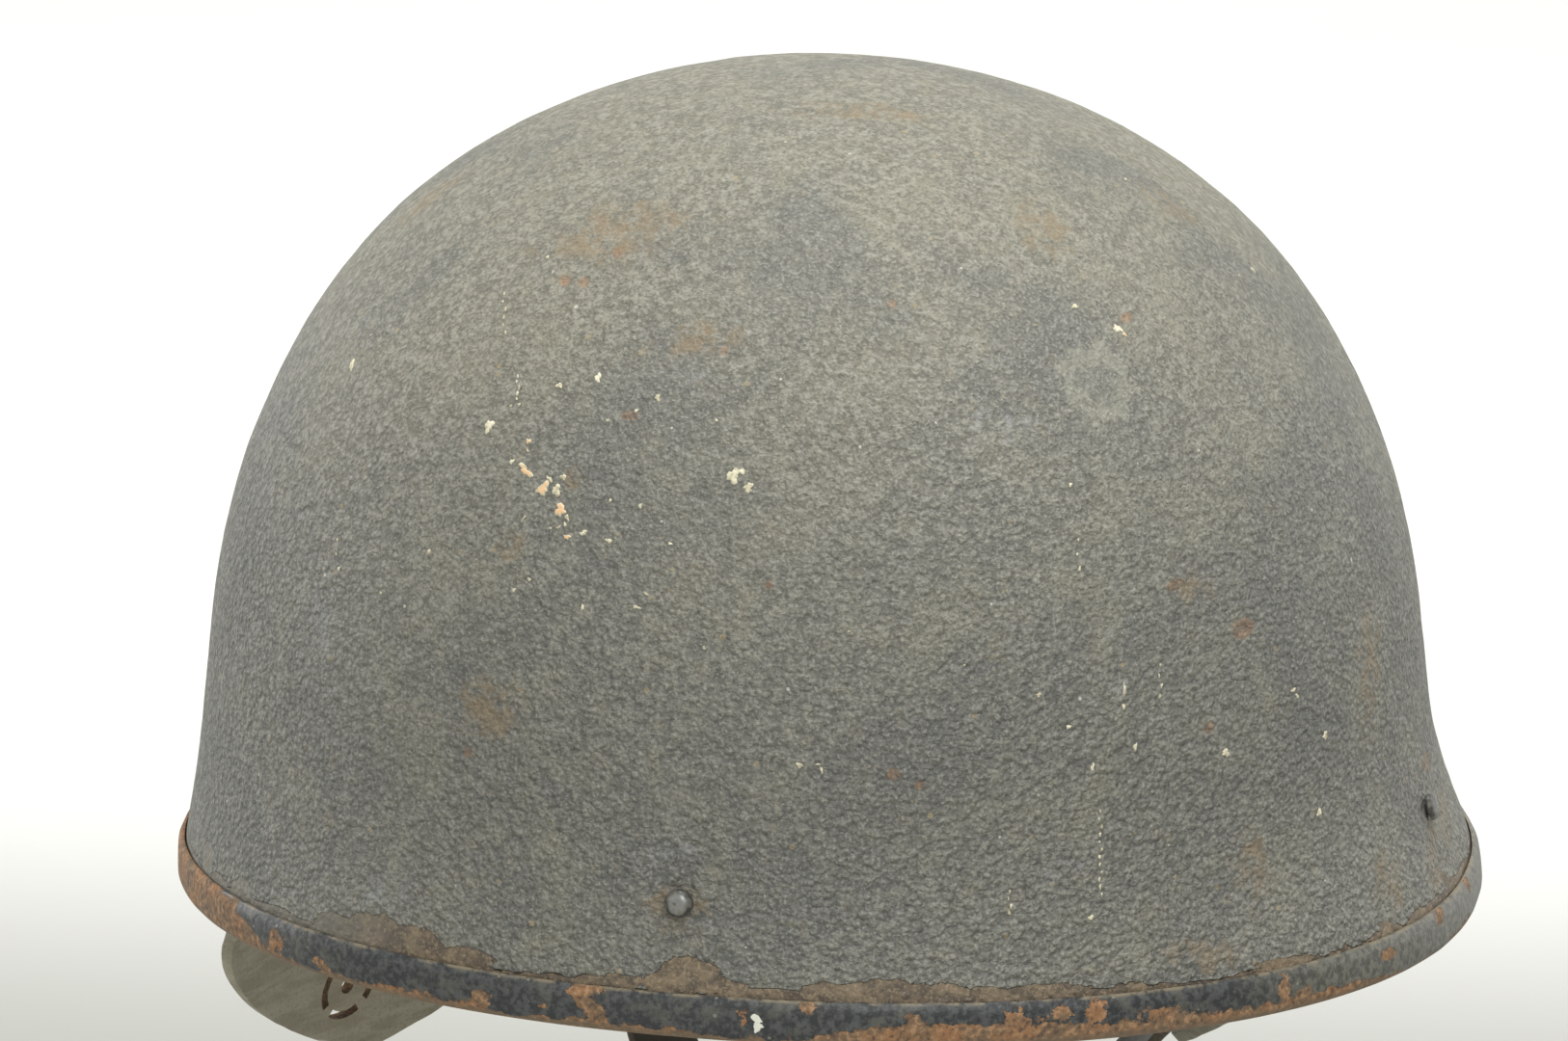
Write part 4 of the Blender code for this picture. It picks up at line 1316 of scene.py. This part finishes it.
def darkStrapLeather():
    # Dark leather with creases across it and worn edges
    material, tree, vector = newMaterial("dark_strap_leather")
    place = stored(tree, "strapPlace", "Vector")
    side = calc(tree, "ABSOLUTE", split(tree, place)["Y"])
    grain = noiseAt(tree, vector, 1500.0, 4.0, 0.6)
    crossways = vectorCalc(tree, "MULTIPLY", place, (1.0, 0.0015, 0.0))
    crease = noiseAt(tree, crossways, 320.0, 3.0, 0.5)
    patchy = noiseAt(tree, vector, 80.0, 3.0, 0.5)
    tone = blend(tree, ramp(tree, patchy, 0.38, 0.64), *leatherFinish["strap"])
    tone = layTones(tree, tone, (leatherFinish["strapCrease"], crease, 0.60, 0.74, 0.5))
    worn = calc(tree, "MULTIPLY", ramp(tree, side, 0.86, 1.0), ramp(tree, grain, 0.40, 0.60))
    tone = blend(tree, worn, tone, leatherFinish["strapEdge"])
    level = calc(tree, "MULTIPLY_ADD", crease, -1.2, calc(tree, "MULTIPLY", grain, 0.4))
    looks = {"Base Color": tone, "Roughness": ramp(tree, worn, 0.0, 1.0, 0.52, 0.70)}
    return finishMaterial(material, looks, level, *leatherFinish["strapRelief"])


# Floor and light

studio = {
    "floorHeight": -0.42,
    "floorFront": -5.4,
    "wallDistance": 5.4,
    "wallRadius": 1.1,
    "wallHeight": 3.6,
    "halfWidth": 6.0,
    "worldTone": (1.0, 1.0, 0.95, 1),
    "worldStrength": 0.55,
    "fadeStart": 1.20,       # where the painted shade on the paper starts to lift behind the helmet, and where the paper is white
    "fadeEnd": 1.75,
    "fadeSlant": 0.09,
    # the painted shade near the camera, then the paper's white
    "paperShadeAndWhite": ((0.42, 0.425, 0.393), (0.82, 0.82, 0.80)),
    "lampAim": 0.06,
    # name, place across, towards the camera and up, both sizes, watts
    "lamps": (
        ("overhead", 0.20, 0.10, 1.45, 1.1, 1.1, 23),
        ("cameraAbove", 0.30, 1.40, 0.90, 0.6, 0.6, 10.5),
        ("cameraLeft", -1.30, 1.20, 0.70, 0.8, 0.8, 2),
        ("floorBounce", -0.30, 0.80, -0.40, 1.4, 0.8, 1.8),
        ("rearRight", 1.25, -0.85, 0.30, 0.7, 1.2, 4),
        ("rearLeft", -1.25, -0.75, 0.30, 0.7, 1.2, 10),
    ),
    # behind the helmet, over it, how far further it aims, both sizes, watts
    "backdrop": (2.9, 1.8, 0.8, 4.0, 1.6, 70),
}


def paperWithPaintedShade(away, across):
    # White paper with painted shade that darkens it towards the camera and a little more towards the left
    material, tree, vector = newMaterial("paper_painted_shade")
    depth = vectorCalc(tree, "DOT_PRODUCT", vector, away, "Value")
    side = vectorCalc(tree, "DOT_PRODUCT", vector, across, "Value")
    reach = calc(tree, "MULTIPLY_ADD", side, studio["fadeSlant"], depth)
    bright = ramp(tree, reach, studio["fadeStart"], studio["fadeEnd"])
    tone = blend(tree, bright, *studio["paperShadeAndWhite"])
    return finishMaterial(material, {"Base Color": tone, "Roughness": 0.9})


def makeFloor():
    # A pale sheet that lies flat, bends up far behind the helmet and stands as a wall
    turn = np.linspace(0, np.pi / 2, 24)
    radius = studio["wallRadius"]
    run = np.concatenate([[studio["floorFront"]], studio["wallDistance"] - radius + radius * np.sin(turn),
                          [studio["wallDistance"]]])
    rise = np.concatenate([[0], radius * (1 - np.cos(turn)), [studio["wallHeight"]]]) + studio["floorHeight"]
    back = cameraAxes()[2]
    away = Vector((-back.x, -back.y, 0)).normalized()
    across = Vector((away.y, -away.x, 0))
    sides = np.array([-1.0, 1.0])[None, :, None] * studio["halfWidth"] * np.array(across)
    points = run[:, None, None] * np.array(away) + sides + rise[:, None, None] * np.array([0, 0, 1.0])
    mesh = gridMesh("pale_floor", points)
    mesh.materials.append(paperWithPaintedShade(away, across))
    mesh.shade_smooth()
    floor = bpy.data.objects.new("pale_floor", mesh)
    bpy.context.scene.collection.objects.link(floor)


def addSoftLight(name, place, aim, wide, tall, power):
    lamp = bpy.data.lights.new(name, "AREA")
    lamp.shape = "RECTANGLE"
    lamp.size, lamp.size_y = wide, tall
    lamp.energy = power
    light = bpy.data.objects.new(name, lamp)
    bpy.context.scene.collection.objects.link(light)
    turned = (aim - place).to_track_quat("-Z", "Y").to_matrix().to_4x4()
    light.matrix_world = Matrix.Translation(place) @ turned


def makeLights():
    scene = bpy.context.scene
    scene.view_settings.view_transform = "Standard"
    world = bpy.data.worlds.new("soft_surround")
    scene.world = world
    world.use_nodes = True
    surround = world.node_tree.nodes["Background"]
    surround.inputs["Color"].default_value = studio["worldTone"]
    surround.inputs["Strength"].default_value = studio["worldStrength"]
    right, _, back = cameraAxes()
    middle = Vector((0, 0, studio["lampAim"]))
    near = Vector((back.x, back.y, 0)).normalized()
    side = Vector((right.x, right.y, 0)).normalized()
    for name, across, towards, high, *sizes in studio["lamps"]:
        addSoftLight(name, middle + side * across + near * towards + Vector((0, 0, high)), middle, *sizes)
    behind, high, further, *sizes = studio["backdrop"]
    wall = middle - near * behind
    addSoftLight("backdrop", wall + Vector((0, 0, high)), wall - near * further, *sizes)


def assignAfter(piece, material):
    # For a finish that places its marks on the finished mesh
    piece.data.materials.clear()
    piece.data.materials.append(material)


def main():
    makeCamera()
    makeFloor()
    makeLights()
    print("camera, floor and lights are in place")
    blank = bpy.data.materials.new("unfinished")
    shell = makeShell(blank)
    bpy.context.view_layer.update()
    assignAfter(shell, pebbledShellPaint(shell))
    print("shell:", len(shell.data.polygons), "faces")
    flakes = makeFlakes(shell, creamUndercoat())
    print("cream flakes:", len(flakes.data.polygons), "faces")
    band = makeBand(blank)
    bpy.context.view_layer.update()
    assignAfter(band, chippedBindingPaint(band))
    print("edge binding:", len(band.data.polygons), "faces")
    rivetPaint = wornRivetSteel()
    stack = flapInset() + flapForm["leather"] + 2 * flapForm["softGap"] + strapForm["leather"]
    side = math.radians(rivetForm["sideAngle"])
    makeRivet("rivet_rear_steel", math.pi, shellForm["steel"], rivetPaint, "rivet_rear")
    makeRivet("rivet_left_steel", side, stack, rivetPaint, "rivet_left", rivetForm["sideHead"])
    makeRivet("rivet_right_steel", -side, stack, rivetPaint, "rivet_right", rivetForm["sideHead"])
    print("rivets are in place")
    cutLeather = cutFlapLeather()
    for name, lean in flapLeans.items():
        leather = greyFlapLeather(f"grey_flap_leather_{name}", earPlace(lean).translation)
        flap = makeFlap(name, leather, cutLeather, f"ear_flap_{name}")
        print("ear flap:", name, len(flap.data.polygons), "faces")
    strap = makeStrap(darkStrapLeather())
    print("chin strap:", len(strap.data.polygons), "faces")
    bpy.data.materials.remove(blank)


main()
